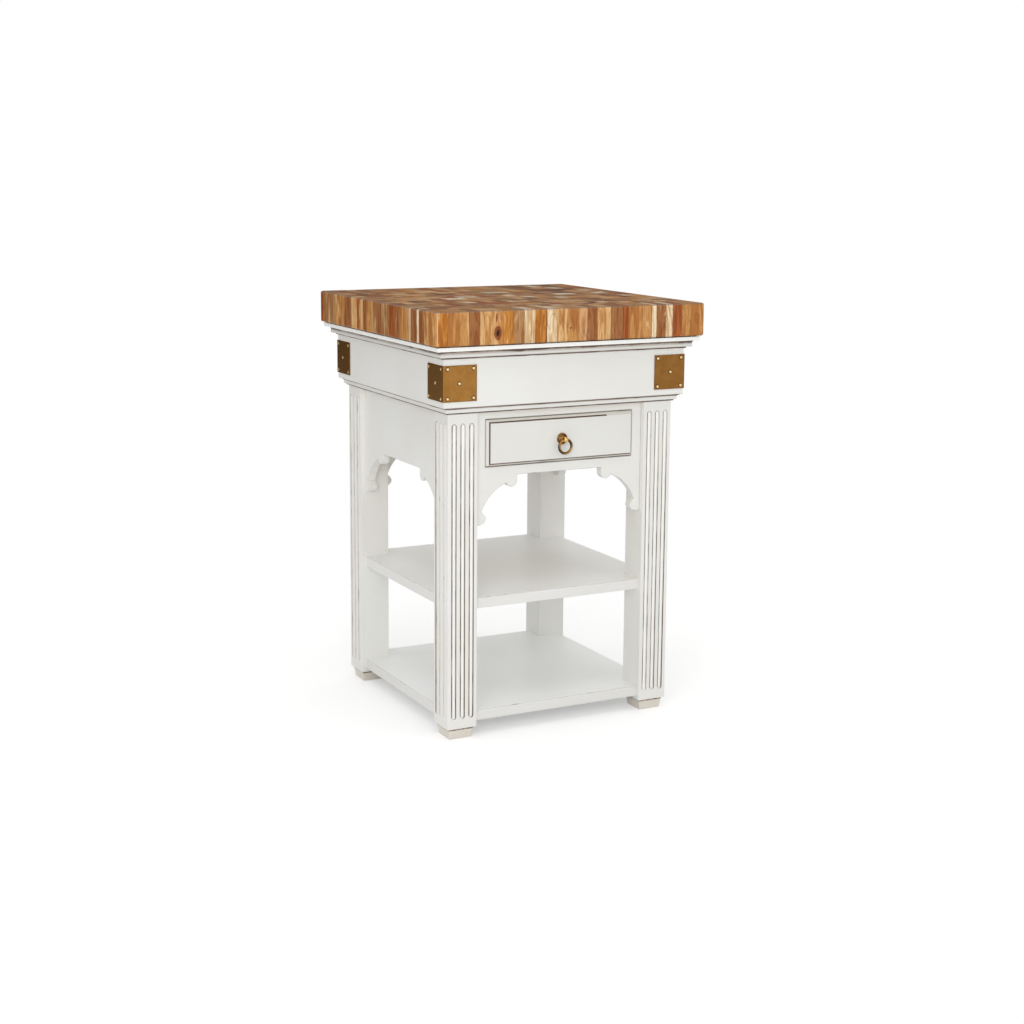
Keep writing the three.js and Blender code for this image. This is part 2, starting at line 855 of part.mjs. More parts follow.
function rosette() {
  const rimInner = rosetteRadius - rosetteRimHeight;
  const stepRadius = (rosetteRadius + neckRadius) / 2;
  const grooveHeight = rosetteRimHeight - rosetteGrooveDepth;
  const stepHeight = (rosetteRimHeight + rosetteThickness) / 2;
  const profile = [
    [shankHole, 0],
    [rosetteRadius, 0],
    [rosetteRadius, rosetteRimHeight / 2],
    [(rosetteRadius + rimInner) / 2, rosetteRimHeight],
    [rimInner, grooveHeight],
    [stepRadius, grooveHeight],
    [stepRadius, stepHeight],
    [neckRadius + rosetteGrooveDepth, rosetteThickness],
    [shankHole, rosetteThickness],
    [shankHole, 0],
  ];
  return pointed(turned(profile, rosetteSides), pullWay, 0, rosetteBack, openingMiddle);
}

function knobPost() {
  const eyeHeight = rosetteBack - eyeDistance;
  const neckTop = eyeHeight - Math.sqrt(knobRadius ** 2 - neckRadius ** 2);
  const neckAngle = THREE.MathUtils.radToDeg(Math.acos(neckRadius / knobRadius));
  const ball = arcPoints(0, eyeHeight, knobRadius, -neckAngle, rightAngle, curveSteps);
  const insideEnd = rosetteBack - frontBack - washerThickness - shankEnd;
  const post = turned([
    [0, insideEnd],
    [shankRadius, insideEnd],
    [shankRadius, rosetteThickness + jointGap],
    [neckRadius, rosetteThickness + jointGap],
    [neckRadius, neckTop],
    ...ball.slice(1, -1).map((point) => [point.x, point.y]),
    [0, eyeHeight + knobRadius],
  ], roundSides);
  const reach = knobRadius + overrun;
  const far = eyeHeight + reach;
  const flats = [-1, 1].map((side) => block(side * knobFlat, side * reach, -reach, reach, neckTop, far));
  const eye = rod(ringWireRadius + eyeClearance, -reach, reach, roundSides);
  eye.rotateY(quarterTurn);
  eye.translate(0, 0, eyeHeight);
  return pointed(cut(post, [...flats, eye]), pullWay, 0, rosetteBack, openingMiddle);
}

function pullRing() {
  const ring = new THREE.TorusGeometry(ringRadius, ringWireRadius, ringSides, ringSteps);
  ring.rotateX(quarterTurn);
  ring.translate(0, eyeDistance, openingMiddle - ringRadius);
  return ring;
}

function pullFastener(radius, thickness, from, sideCount) {
  const disc = rod(radius, from, from + thickness, sideCount);
  const bore = rod(shankHole, from - overrun, from + thickness + overrun, roundSides);
  return pointed(cut(disc, [bore]), new THREE.Vector3(0, 1, 0), 0, 0, openingMiddle);
}

// The whole table

addPiece('end_grain_block', drilledSlab(), blockWood);

for (const { name, turn, apron } of sides) {
  addPiece(`cornice_${name}`, cornice(), paint, turn);
  addPiece(`frieze_${name}`, frieze(), paint, turn);
  addPiece(`base_moulding_${name}`, baseMoulding(), paint, turn);
  addPiece(`apron_${name}`, apron(), paint, turn);
  addPiece(`top_rail_${name}`, topRail(), bareWood, turn);
}

for (const { name, sx, sy, turn } of corners) {
  addPiece(`leg_${name}`, leg(sx, sy), paint);
  addPiece(`foot_${name}`, foot(sx, sy), paint);
  addPiece(`block_screw_${name}`, blockScrew(sx, sy), steel);
  addPiece(`corner_plate_${name}`, cornerPlate(), brass, turn);
}

addPiece('middle_shelf', shelf(middleShelfTop), paint);
addPiece('bottom_shelf', shelf(bottomShelfTop), paint);

for (const [name, sx] of [['left', -1], ['right', 1]]) {
  addPiece(`block_cleat_${name}`, cleat(sx), bareWood);
  addPiece(`drawer_runner_${name}`, runner(sx), bareWood);
  addPiece(`drawer_kicker_${name}`, kicker(sx), bareWood);
  addPiece(`drawer_stop_${name}`, drawerStop(sx), bareWood);
  addPiece(`drawer_side_${name}`, drawerSide(sx), bareWood);
}

addPiece('drawer_front', drawerFront(), paint);
addPiece('drawer_back', drawerBack(), bareWood);
addPiece('drawer_bottom', drawerBottom(), bareWood);

addPiece('pull_rosette', rosette(), brass);
addPiece('pull_knob', knobPost(), brass);
addPiece('pull_ring', pullRing(), brass);
addPiece('pull_washer', pullFastener(washerRadius, washerThickness, frontBack + jointGap, roundSides), steel);
const nutStart = frontBack + washerThickness + 2 * jointGap;
addPiece('pull_nut', pullFastener(nutRadius, nutHeight, nutStart, smallSides), steel);

export default table;
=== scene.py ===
import math
import random

import bmesh
import bpy
from mathutils import Matrix, Vector


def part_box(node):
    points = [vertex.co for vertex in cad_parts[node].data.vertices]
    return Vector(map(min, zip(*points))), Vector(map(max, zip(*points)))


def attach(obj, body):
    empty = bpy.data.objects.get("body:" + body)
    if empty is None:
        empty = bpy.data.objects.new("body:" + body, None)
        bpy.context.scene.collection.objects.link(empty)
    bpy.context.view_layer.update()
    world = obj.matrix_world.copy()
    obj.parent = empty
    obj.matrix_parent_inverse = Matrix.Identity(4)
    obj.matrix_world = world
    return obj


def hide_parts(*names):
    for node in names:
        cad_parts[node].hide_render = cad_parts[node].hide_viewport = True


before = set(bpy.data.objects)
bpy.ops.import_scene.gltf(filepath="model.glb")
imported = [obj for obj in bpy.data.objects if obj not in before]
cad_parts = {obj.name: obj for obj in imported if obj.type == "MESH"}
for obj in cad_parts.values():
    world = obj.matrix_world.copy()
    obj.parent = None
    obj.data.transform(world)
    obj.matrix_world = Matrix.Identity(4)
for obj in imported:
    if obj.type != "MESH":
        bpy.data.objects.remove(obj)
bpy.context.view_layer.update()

# Looks of the butcher block table, in metres, around the solids of the frame.
# The drawer faces -Y. Sizes written in millimetres are turned into metres by MM.

MM = 0.001
SIDES = {"front": 0, "right": 90, "back": 180, "left": -90}
CORNERS = {"front_left": 0, "front_right": 90, "back_right": 180, "back_left": -90}
# The axis along which the boards of each side run
SIDE_AXES = {"front": 0, "right": 1, "back": 0, "left": 1}
CARCASS = "carcass"
DRAWER = "drawer"
RING = "ring"


def rgb(red, green, blue):
    """A colour as a screen shows it, 0 to 255, turned into the linear values that shaders use."""
    def linear(level):
        share = level / 255
        return share / 12.92 if share <= 0.04045 else ((share + 0.055) / 1.055) ** 2.4
    return (linear(red), linear(green), linear(blue), 1)


# Colours: the light and the dark tone of each material, and for brass and bronze the tone of its tarnish,
# which also serves as painted shade

PAINT = (rgb(240, 240, 236), rgb(236, 235, 230))
# Near white paint laid on as a painted highlight
PAINTED_HIGHLIGHT_WHITE = rgb(254, 254, 251)
# Paint for the shelves, made lighter than the rest as painted light for their dimly lit tops
BRIGHTENED_SHELF_PAINT = (rgb(246, 247, 245), rgb(242, 243, 240))
DRAWER_PAINT = (rgb(234, 234, 229), rgb(230, 229, 223))
# A warmer, darker paint for the feet
WARM_FOOT_PAINT = (rgb(234, 227, 217), rgb(227, 219, 208))
# Dark brown and thin grey-brown glaze, both also laid on as painted shade in creases, gaps and under
# mouldings; the thin one also tints brush marks and specks
DARK_GLAZE_AND_SHADE = rgb(82, 56, 40)
THIN_GLAZE_AND_SHADE = rgb(156, 134, 112)
PLAIN_WOOD = (rgb(232, 221, 202), rgb(218, 202, 176))
BRASS = (rgb(176, 128, 66), rgb(164, 116, 58), rgb(92, 54, 22))
# Bright polished brass for the tacks, whose bare tops also serve as painted highlights
TACK_BRASS = (rgb(255, 236, 190), rgb(240, 204, 140), rgb(92, 54, 22))
BRONZE = (rgb(240, 192, 118), rgb(196, 140, 70), rgb(48, 24, 8))
STEEL = (rgb(190, 190, 188), rgb(150, 150, 150))
FLOOR = (rgb(236, 236, 236), rgb(228, 228, 228))
CARD = (rgb(40, 40, 40), rgb(30, 30, 30))
SIDE_BAND = rgb(222, 200, 176)
SIDE_PALE = rgb(244, 210, 160)
SIDE_FIGURE = rgb(120, 62, 24)
SIDE_FIBRE = rgb(112, 62, 28)
SIDE_CHECK = rgb(76, 38, 16)
END_TINT = rgb(195, 195, 198)
END_RING = rgb(78, 50, 34)
END_PATCH = rgb(86, 58, 42)
END_PORE = rgb(60, 38, 24)
SEAM_DARK = rgb(70, 40, 22)
EASED_GREY = rgb(122, 106, 96)
KNOT_HALO = rgb(196, 122, 58)
KNOT_BROWN = rgb(126, 62, 22)
KNOT_CORE = rgb(44, 18, 8)
WOOD_TONES = {
    "cream": rgb(247, 224, 186),
    "light": rgb(226, 178, 118),
    "tan": rgb(205, 148, 84),
    "pink": rgb(216, 164, 112),
    "orange": rgb(204, 136, 56),
    "olive": rgb(182, 136, 88),
    "brown": rgb(164, 108, 62),
    "red": rgb(172, 96, 42),
    "dark": rgb(120, 74, 42),
}
COMMON_TONES = ("tan", "tan", "brown", "brown", "orange", "light", "olive", "red", "cream", "dark", "pink")


# Shaders

class Shader:
    """The nodes of a material or of the world, added one by one."""

    def __init__(self, owner, surface="Principled BSDF"):
        owner.use_nodes = True
        self.owner = owner
        self.tree = owner.node_tree
        self.surface = self.tree.nodes[surface]

    def add(self, kind, inputs=None, **settings):
        node = self.tree.nodes.new(kind)
        for key, value in settings.items():
            setattr(node, key, value)
        for key, value in (inputs or {}).items():
            self.put(node, key, value)
        return node

    def put(self, node, key, value):
        if isinstance(value, bpy.types.NodeSocket):
            self.tree.links.new(value, node.inputs[key])
        else:
            node.inputs[key].default_value = value

    def place(self):
        return self.add("ShaderNodeTexCoord").outputs["Object"]

    def attribute(self, name, output="Fac"):
        return self.add("ShaderNodeAttribute", attribute_name=name).outputs[output]

    def vector(self, operation, first, second):
        node = self.add("ShaderNodeVectorMath", {0: first, 1: second}, operation=operation)
        return node.outputs["Vector"]

    def length(self, vector):
        return self.add("ShaderNodeVectorMath", {0: vector}, operation="LENGTH").outputs["Value"]

    def math(self, operation, first, second):
        node = self.add("ShaderNodeMath", {0: first, 1: second}, operation=operation)
        return node.outputs["Value"]

    def plus(self, first, second):
        return self.math("ADD", first, second)

    def times(self, first, second):
        return self.math("MULTIPLY", first, second)

    def noise(self, vector, scale, detail=2.0, roughness=0.5, distortion=0.0):
        inputs = {"Vector": vector, "Scale": scale, "Detail": detail, "Roughness": roughness}
        inputs["Distortion"] = distortion
        return self.add("ShaderNodeTexNoise", inputs).outputs["Fac"]

    def grain(self, place, axis, stretch, *settings):
        """Noise that is drawn out along one axis."""
        scale = [stretch if index == axis else 1 for index in range(3)]
        return self.noise(self.vector("MULTIPLY", place, scale), *settings)

    def step(self, value, low, high):
        """0 below low, 1 above high and smooth between."""
        inputs = {"Value": value, "From Min": low, "From Max": high}
        node = self.add("ShaderNodeMapRange", inputs, interpolation_type="SMOOTHSTEP")
        return node.outputs["Result"]

    def mix(self, share, first, second, blend="MIX"):
        node = self.add("ShaderNodeMix", data_type="RGBA", blend_type=blend)
        self.put(node, 0, share)
        self.put(node, 6, first)
        self.put(node, 7, second)
        return node.outputs[2]

    def span(self, value, low, high):
        """A number that runs from low to high as value runs from 0 to 1."""
        node = self.add("ShaderNodeMapRange", {"Value": value, "To Min": low, "To Max": high})
        return node.outputs["Result"]

    def stain(self, base, colour, value, low, high, most):
        """The base with some of a colour, up to most of it, as value passes from low to high."""
        return self.mix(self.span(self.step(value, low, high), 0, most), base, colour)

    def bump(self, height, depth):
        node = self.add("ShaderNodeBump", {"Height": height, "Strength": 1.0, "Distance": depth})
        return node.outputs["Normal"]

    def background_rays(self):
        """1 for the rays that see the background, and 0 for those by which it gives light."""
        path = self.add("ShaderNodeLightPath")
        seen = self.math("MAXIMUM", path.outputs["Is Camera Ray"], path.outputs["Is Glossy Ray"])
        return self.math("MAXIMUM", seen, path.outputs["Is Transmission Ray"])

    def finish(self, **inputs):
        for key, value in inputs.items():
            self.put(self.surface, key.replace("_", " "), value)
        return self.owner


def new_shader(name):
    return Shader(bpy.data.materials.new(name))


# How far noise breaks up the lines of glaze and painted shade
GLAZE_AND_SHADE_CHANCE = 2.2


def painted_wood(name, grain_axis, tones=PAINT):
    """Satin paint, with brown glaze and painted shade wherever the mesh's attribute asks for them.

    Below zero the attribute asks for a painted highlight of near white paint."""
    shader = new_shader(name)
    place = shader.place()
    clouds = shader.noise(place, 4, 3)
    brushed = shader.grain(place, grain_axis, 0.12, 420, 3)
    base = shader.mix(shader.step(clouds, 0.3, 0.7), *tones)
    base = shader.mix(shader.span(brushed, 0, 0.04), base, THIN_GLAZE_AND_SHADE)

    asked = shader.attribute("glaze_shade_highlight")
    streaks = shader.grain(place, grain_axis, 0.14, 130, 5, 0.7)
    patches = shader.noise(place, 22, 3)
    chance = shader.math("SUBTRACT", shader.plus(streaks, patches), 1.0)
    held = shader.plus(asked, shader.times(chance, GLAZE_AND_SHADE_CHANCE))
    # Painted highlight: near white paint where the attribute is below zero
    base = shader.mix(shader.step(asked, 0.0, -0.8), base, PAINTED_HIGHLIGHT_WHITE)
    # Thin grey-brown glaze and painted shade, as strong as the attribute asks
    thin = shader.times(shader.math("MINIMUM", asked, 1.0), shader.span(streaks, 0.5, 1.2))
    thin = shader.math("MAXIMUM", thin, 0.0)
    # Dark brown glaze and painted shade where the attribute and the noise are high enough
    thick = shader.times(shader.step(held, 0.7, 1.15), shader.step(asked, 0.1, 0.4))
    base = shader.mix(thin, base, THIN_GLAZE_AND_SHADE)
    base = shader.mix(shader.times(thick, 0.9), base, DARK_GLAZE_AND_SHADE)

    specks = shader.step(shader.noise(place, 330, 1), 0.83, 0.86)
    base = shader.mix(shader.times(specks, 0.5), base, THIN_GLAZE_AND_SHADE)
    height = shader.plus(brushed, shader.times(thick, -2.0))
    return shader.finish(
        Base_Color=base,
        Roughness=shader.span(brushed, 0.34, 0.5),
        Specular_IOR_Level=0.4,
        Normal=shader.bump(height, 0.00012),
    )


def plain_wood(name, grain_axis):
    """Unfinished light wood of the hidden pieces and the drawer's box."""
    shader = new_shader(name)
    place = shader.place()
    bands = shader.grain(place, grain_axis, 0.05, 90, 4, 0.6, 0.4)
    fibres = shader.grain(place, grain_axis, 0.05, 900, 3, 0.7)
    base = shader.mix(shader.step(bands, 0.35, 0.68), *PLAIN_WOOD)
    base = shader.mix(shader.span(fibres, 0, 0.3), base, PLAIN_WOOD[1])
    return shader.finish(
        Base_Color=base,
        Roughness=shader.span(fibres, 0.55, 0.8),
        Specular_IOR_Level=0.3,
        Normal=shader.bump(fibres, 0.00015),
    )


def antique_brass(name, light, dark, tarnish_and_shade_tone, roughness):
    """Brass with a little tarnish, most of it where the mesh's attribute asks for tarnish and painted shade.
    """
    shader = new_shader(name)
    place = shader.place()
    patches = shader.noise(place, 60, 4, 0.6)
    brushed = shader.grain(place, 2, 8, 300, 2)
    base = shader.mix(shader.step(patches, 0.3, 0.7), light, dark)
    base = shader.mix(shader.span(brushed, 0, 0.12), base, tarnish_and_shade_tone)
    base = shader.mix(shader.attribute("tarnish_and_shade"), base, tarnish_and_shade_tone)
    return shader.finish(
        Base_Color=base,
        Metallic=1.0,
        Roughness=shader.span(patches, roughness, roughness + 0.12),
        Normal=shader.bump(brushed, 0.00003),
    )


def plated_steel(name):
    shader = new_shader(name)
    cloudy = shader.noise(shader.place(), 260, 3)
    return shader.finish(
        Base_Color=shader.mix(cloudy, *STEEL),
        Metallic=1.0,
        Roughness=shader.span(cloudy, 0.3, 0.5),
    )


def butcher_block_wood():
    """Glued staves with long grain on the sides and end grain on top.

    Each face of the mesh holds its stave's tone and seed, and says whether it shows end grain, lies
    in a seam or is part of the eased upper edge."""
    shader = new_shader("butcher_block_wood")
    place = shader.place()
    tone = shader.attribute("tone", "Color")
    seed = shader.attribute("seed", "Vector")
    own = shader.vector("ADD", place, seed)

    fibres = shader.grain(own, 2, 0.06, 420, 5, 0.7, 0.2)
    bands = shader.grain(own, 2, 0.13, 62, 3, 0.5, 1.2)
    figure = shader.grain(own, 2, 0.16, 34, 2, 0.5, 0.5)
    checks = shader.grain(own, 2, 0.09, 105, 3, 0.6, 1.2)
    lines = shader.math("SINE", shader.times(figure, 62.0), 0.0)
    sides = shader.mix(shader.step(bands, 0.47, 0.57), tone, shader.mix(1.0, tone, SIDE_BAND, "MULTIPLY"))
    sides = shader.stain(sides, SIDE_PALE, bands, 0.4, 0.32, 0.5)
    sides = shader.stain(sides, SIDE_FIGURE, lines, 0.3, 1.0, 0.26)
    sides = shader.stain(sides, SIDE_FIBRE, fibres, 0.45, 0.75, 0.5)
    sides = shader.stain(sides, SIDE_CHECK, checks, 0.68, 0.74, 0.8)
    for centre, size, core in KNOTS:
        sides = knot(shader, sides, place, centre, size, core)

    turned = shader.add("ShaderNodeTexWave", {
        "Vector": shader.vector("ADD", place, shader.vector("MULTIPLY", seed, (0.012, 0.012, 0))),
        "Scale": shader.plus(shader.times(shader.noise(seed, 3, 0), 60.0), 20.0),
        "Distortion": 6.0,
        "Detail": 3.0,
        "Detail Scale": 1.2,
    }, wave_type="RINGS", rings_direction="Z").outputs["Fac"]
    pores = shader.noise(place, 1100, 2)
    patches = shader.noise(own, 45, 3, 0.6)
    ends = shader.mix(1.0, tone, END_TINT, "MULTIPLY")
    ends = shader.stain(ends, END_RING, turned, 0.35, 0.95, 0.28)
    ends = shader.stain(ends, END_PATCH, patches, 0.5, 0.7, 0.35)
    ends = shader.stain(ends, END_PORE, pores, 0.55, 0.8, 0.5)

    top = shader.attribute("end_grain")
    base = shader.mix(top, sides, ends)
    tight = shader.span(shader.step(shader.noise(own, 30, 2), 0.4, 0.62), 0.15, 0.8)
    base = shader.mix(shader.times(shader.attribute("seam"), tight), base, SEAM_DARK)
    base = shader.mix(shader.times(shader.attribute("eased"), 0.5), base, EASED_GREY)
    return shader.finish(
        Base_Color=base,
        Roughness=shader.plus(shader.span(fibres, 0.38, 0.52), shader.times(top, 0.3)),
        Specular_IOR_Level=shader.span(top, 0.25, 0.12),
        Normal=shader.bump(fibres, 0.00012),
    )


def knot(shader, base, place, centre, size, core):
    """A brown oval knot. core is the share of its size that is nearly black, or 0 for a crack."""
    wobble = shader.times(shader.noise(place, 190, 3), 0.5)
    shares = shader.vector("DIVIDE", shader.vector("SUBTRACT", place, centre), size)
    reach = shader.plus(shader.length(shares), wobble)
    base = shader.stain(base, KNOT_HALO, reach, 2.1, 1.3, 0.5)
    base = shader.stain(base, KNOT_BROWN, reach, 1.3, 1.1, 0.9)
    return shader.mix(shader.step(reach, core + 0.3, core), base, KNOT_CORE)


# Meshes

SAME_PLACE = 0.001 * MM
SAME_CORNER = 0.02 * MM


def new_object(name, data):
    made = bpy.data.objects.new(name, data)
    bpy.context.scene.collection.objects.link(made)
    return made


def object_from(name, bm, material):
    """A new object with the mesh that a bmesh holds."""
    mesh = bpy.data.meshes.new(name)
    bm.to_mesh(mesh)
    bm.free()
    mesh.materials.append(material)
    return new_object(name, mesh)


def piece_from(name, bm, material, body, slot, *nodes):
    """A new object that rides on a body in place of its CAD nodes."""
    piece = object_from(name, bm, material)
    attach(piece, body)
    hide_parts(*nodes)
    return piece


def soften(piece, width, angle=35):
    """Rounds the sharp edges and shades the rest smooth."""
    piece.data.shade_smooth()
    bevel = piece.modifiers.new("edges", "BEVEL")
    bevel.width = width
    bevel.segments = 2
    bevel.limit_method = "ANGLE"
    bevel.angle_limit = math.radians(angle)
    bevel.use_clamp_overlap = True
    weighted = piece.modifiers.new("normals", "WEIGHTED_NORMAL")
    weighted.keep_sharp = True


def painted_piece(name, bm, material, node, width, angle):
    """A painted piece of the carcass with rounded edges."""
    soften(piece_from(name, bm, material, CARCASS, "white_paint", node), width, angle)


def coat(node, material):
    """Gives a CAD node its look and leaves its shape alone."""
    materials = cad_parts[node].data.materials
    materials.clear()
    materials.append(material)


def turn_matrix(degrees):
    return Matrix.Rotation(math.radians(degrees), 3, "Z")


def turned_about(bm, degrees):
    bmesh.ops.rotate(bm, verts=bm.verts, cent=(0, 0, 0), matrix=turn_matrix(degrees))


def ring_faces(bm, lower, upper):
    """The faces between two closed rings of vertices."""
    faces = []
    for index in range(len(lower)):
        after = (index + 1) % len(lower)
        faces.append(bm.faces.new((lower[index], lower[after], upper[after], upper[index])))
    return faces


def turned_rings(bm, layer, profile, segments, place):
    """Rings of (radius, height, tarnish and painted shade) joined by faces. place(x, y, height) gives a
    point.
    """
    rings = []
    for radius, height, tarnish_and_shade in profile:
        ring = []
        for segment in range(segments):
            angle = 2 * math.pi * segment / segments
            ring.append(bm.verts.new(place(radius * math.cos(angle), radius * math.sin(angle), height)))
            ring[-1][layer] = tarnish_and_shade
        rings.append(ring)
    for lower, upper in zip(rings, rings[1:]):
        ring_faces(bm, lower, upper)
    return rings


def copied(node):
    """The mesh of a CAD node with its flat faces whole again."""
    bm = bmesh.new()
    bm.from_mesh(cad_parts[node].data)
    bmesh.ops.remove_doubles(bm, verts=bm.verts, dist=SAME_CORNER)
    bmesh.ops.dissolve_limit(bm, angle_limit=math.radians(1), verts=bm.verts, edges=bm.edges)
    return bm


def copy_with_glaze_and_shade(node):
    bm = copied(node)
    return bm, bm.faces.layers.float.new("glaze_shade_highlight")


# Table outlines that the frame gives

slab_low, slab_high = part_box("end_grain_block")
slab_half = slab_high.x
leg_low, leg_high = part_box("leg_front_left")
leg_width = leg_high.x - leg_low.x
leg_centre = (leg_high.x + leg_low.x) / 2


# Butcher block

SLAB_CORNER_RADIUS = 6 * MM
SLAB_EDGE_RADIUS = 4.5 * MM
CORNER_STEPS = 6
EDGE_STEPS = 4
SEAM = 0.7 * MM

# Staves along the front edge from left to right, and rows along the left edge from back to front,
# each a tone and a width in millimetres. The last one of each takes what is left.
FRONT_STAVES = (
    ("cream", 4), ("orange", 20), ("tan", 27), ("tan", 22), ("brown", 25), ("light", 52), ("orange", 25),
    ("olive", 24), ("cream", 25), ("orange", 26), ("dark", 2), ("cream", 23), ("light", 25), ("tan", 27),
    ("pink", 20), ("brown", 25), ("light", 32), ("brown", 29), ("red", 14), ("tan", 35),
    ("tan", 23), ("cream", 12), ("brown", 23), ("cream", 17), ("red", 24), ("tan", 54),
)
LEFT_ROWS = (
    ("red", 17), ("olive", 71), ("tan", 57), ("brown", 39), ("light", 36), ("red", 19),
    ("light", 15), ("brown", 19), ("tan", 38), ("brown", 44), ("olive", 43), ("red", 32),
    ("brown", 21), ("tan", 48), ("cream", 10), ("brown", 31), ("cream", 11), ("brown", 25),
    ("tan", 58),
)
STAVE_WIDTHS = (22, 25, 25, 28, 34, 50)
STAVE_DRAW = 7
SEED_REACH = 9
DARKEST_STAVE = 0.78
LIGHTEST_STAVE = 1.16
# Knots on the front face, each a centre, its half sizes and how far its black core reaches
KNOTS = (
    ((-181 * MM, -slab_half, 868 * MM), (9 * MM, 4 * MM, 15.5 * MM), 0.5),
    ((-184 * MM, -slab_half, 899 * MM), (1.9 * MM, 4 * MM, 9 * MM), 0),
    ((-11.5 * MM, -slab_half, 872 * MM), (2.2 * MM, 3 * MM, 2 * MM), 0.7),
)


def edges_of(strips, start):
    """The boundaries of strips whose widths add up from start, with the far side left out."""
    edges = [start]
    for _, width in strips[:-1]:
        edges.append(edges[-1] + width * MM)
    return edges


def rounded_square(half, radius, height):
    points = []
    for quarter in range(4):
        mid = math.radians(90 * quarter + 45)
        middles = [math.copysign(half - radius, way) for way in (math.cos(mid), math.sin(mid))]
        centre = Vector((*middles, 0))
        for step in range(CORNER_STEPS + 1):
            angle = math.radians(90 * (quarter + step / CORNER_STEPS))
            points.append(centre + Vector((radius * math.cos(angle), radius * math.sin(angle), height)))
    return points


def slab_shell():
    rings = []
    for step in range(EDGE_STEPS + 1):
        angle = math.radians(90 * step / EDGE_STEPS)
        inset = SLAB_EDGE_RADIUS * (1 - math.sin(angle))
        rings.append((inset, SLAB_EDGE_RADIUS * (1 - math.cos(angle))))
    low = [(inset, slab_low.z + rise) for inset, rise in rings]
    high = [(inset, slab_high.z - rise) for inset, rise in reversed(rings)]
    bm = bmesh.new()
    loops = []
    for inset, height in low + high:
        points = rounded_square(slab_half - inset, SLAB_CORNER_RADIUS - inset, height)
        loops.append([bm.verts.new(point) for point in points])
    for lower, upper in zip(loops, loops[1:]):
        ring_faces(bm, lower, upper)
    bm.faces.new(reversed(loops[0]))
    bm.faces.new(loops[-1])
    return bm


def split(bm, faces, axis, place):
    normal = Vector((0, 0, 0))
    normal[axis] = 1
    parts = list(faces) + list({edge for face in faces for edge in face.edges})
    parts += list({vert for face in faces for vert in face.verts})
    bmesh.ops.bisect_plane(bm, geom=parts, dist=SAME_PLACE, plane_co=normal * place, plane_no=normal)


def faces_between(bm, axis, low, high):
    return [face for face in bm.faces if low < face.calc_center_median()[axis] < high]


def split_seam(bm, axis, edge, low, high):
    """Cuts the faces of the rows between low and high along both sides of a seam."""
    for place in (edge, edge + SEAM):
        split(bm, faces_between(bm, 1, low, high), axis, place)


def in_seam(place, edges):
    return any(0 < place - edge < SEAM for edge in edges)


def random_staves(rng, first_tone, last_tone):
    staves = []
    total = 0
    while total < 2 * slab_half / MM - max(STAVE_WIDTHS):
        staves.append((rng.choice(COMMON_TONES), rng.choice(STAVE_WIDTHS)))
        total += staves[-1][1]
    staves.append((last_tone, 0))
    staves[0] = (first_tone, staves[0][1])
    return staves


def butcher_block():
    rng = random.Random(STAVE_DRAW)
    bm = slab_shell()
    row_edges = edges_of(tuple(reversed(LEFT_ROWS)), -slab_half)
    for edge in row_edges[1:]:
        split_seam(bm, 1, edge, -slab_half - SEAM, slab_half + SEAM)
    layers = bm.faces.layers
    tone_layer, seed_layer = [layers.float_vector.new(name) for name in ("tone", "seed")]
    end_layer, seam_layer, eased_layer = [layers.float.new(name) for name in ("end_grain", "seam", "eased")]
    inner_rows = row_edges[1:]
    row_tops = inner_rows + [slab_half]
    row_edges[0] -= SEAM
    row_tops[-1] += SEAM
    for row, (low, high) in enumerate(zip(row_edges, row_tops)):
        row_tone = LEFT_ROWS[-1 - row][0]
        staves = FRONT_STAVES if row == 0 else random_staves(rng, row_tone, rng.choice(COMMON_TONES))
        stave_edges = edges_of(staves, -slab_half)
        for edge in stave_edges[1:]:
            split_seam(bm, 0, edge, low, high)
        in_row = faces_between(bm, 1, low, high)
        stave_ends = stave_edges[1:] + [slab_half + SEAM]
        stave_edges[0] -= SEAM
        for (tone, _), left, right in zip(staves, stave_edges, stave_ends):
            seed = Vector([rng.uniform(-SEED_REACH, SEED_REACH) for _ in range(3)])
            shade = 1.0 if row == 0 else rng.uniform(DARKEST_STAVE, LIGHTEST_STAVE)
            colour = Vector(WOOD_TONES[tone][:3]) * shade
            for face in in_row:
                centre = face.calc_center_median()
                if not left < centre.x < right:
                    continue
                on_left_side = face.normal.x < -0.5
                face[tone_layer] = Vector(WOOD_TONES[row_tone][:3]) if on_left_side else colour
                face[seed_layer] = seed
                face[end_layer] = 1.0 if abs(face.normal.z) > 0.6 else 0.0
                face[eased_layer] = 1.0 if 0.3 < face.normal.z < 0.99 else 0.0
                seam = in_seam(centre.x, stave_edges[1:]) or in_seam(centre.y, inner_rows)
                face[seam_layer] = 1.0 if seam else 0.0
    wood = butcher_block_wood()
    piece = piece_from("butcher_block", bm, wood, CARCASS, "end_grain_wood", "end_grain_block")
    for face in piece.data.polygons:
        face.use_smooth = max(map(abs, face.normal)) < 0.999


# Fluted legs

FLUTE_RADIUS = 5.5 * MM
FLUTE_DEPTH = 4 * MM
FLUTE_PITCH = 20.2 * MM
FLUTE_TOP = 677.5 * MM
FLUTE_BOTTOM = 45.5 * MM
FLUTE_STEPS = 10
FLUTE_FOOT_LOSS = 0.65
LEG_EASE = 0.9 * MM
FLUTE_LEVELS = (FLUTE_BOTTOM + FLUTE_RADIUS, FLUTE_TOP - FLUTE_RADIUS)
# Where the three flutes of a face have their borders, from its middle
FLUTE_BORDERS = (-leg_width / 2, -FLUTE_PITCH / 2, FLUTE_PITCH / 2, leg_width / 2)
# A flute from its lip to its floor, as shares of its radius and of its depth
FLUTE_SHARES = (
    (1.14, 0.0), (1.07, 0.0), (1.0, 0.03), (0.97, 0.25), (0.9, 0.55),
    (0.78, 0.8), (0.58, 0.94), (0.3, 0.99), (0.12, 1.0), (0.0, 1.0),
)
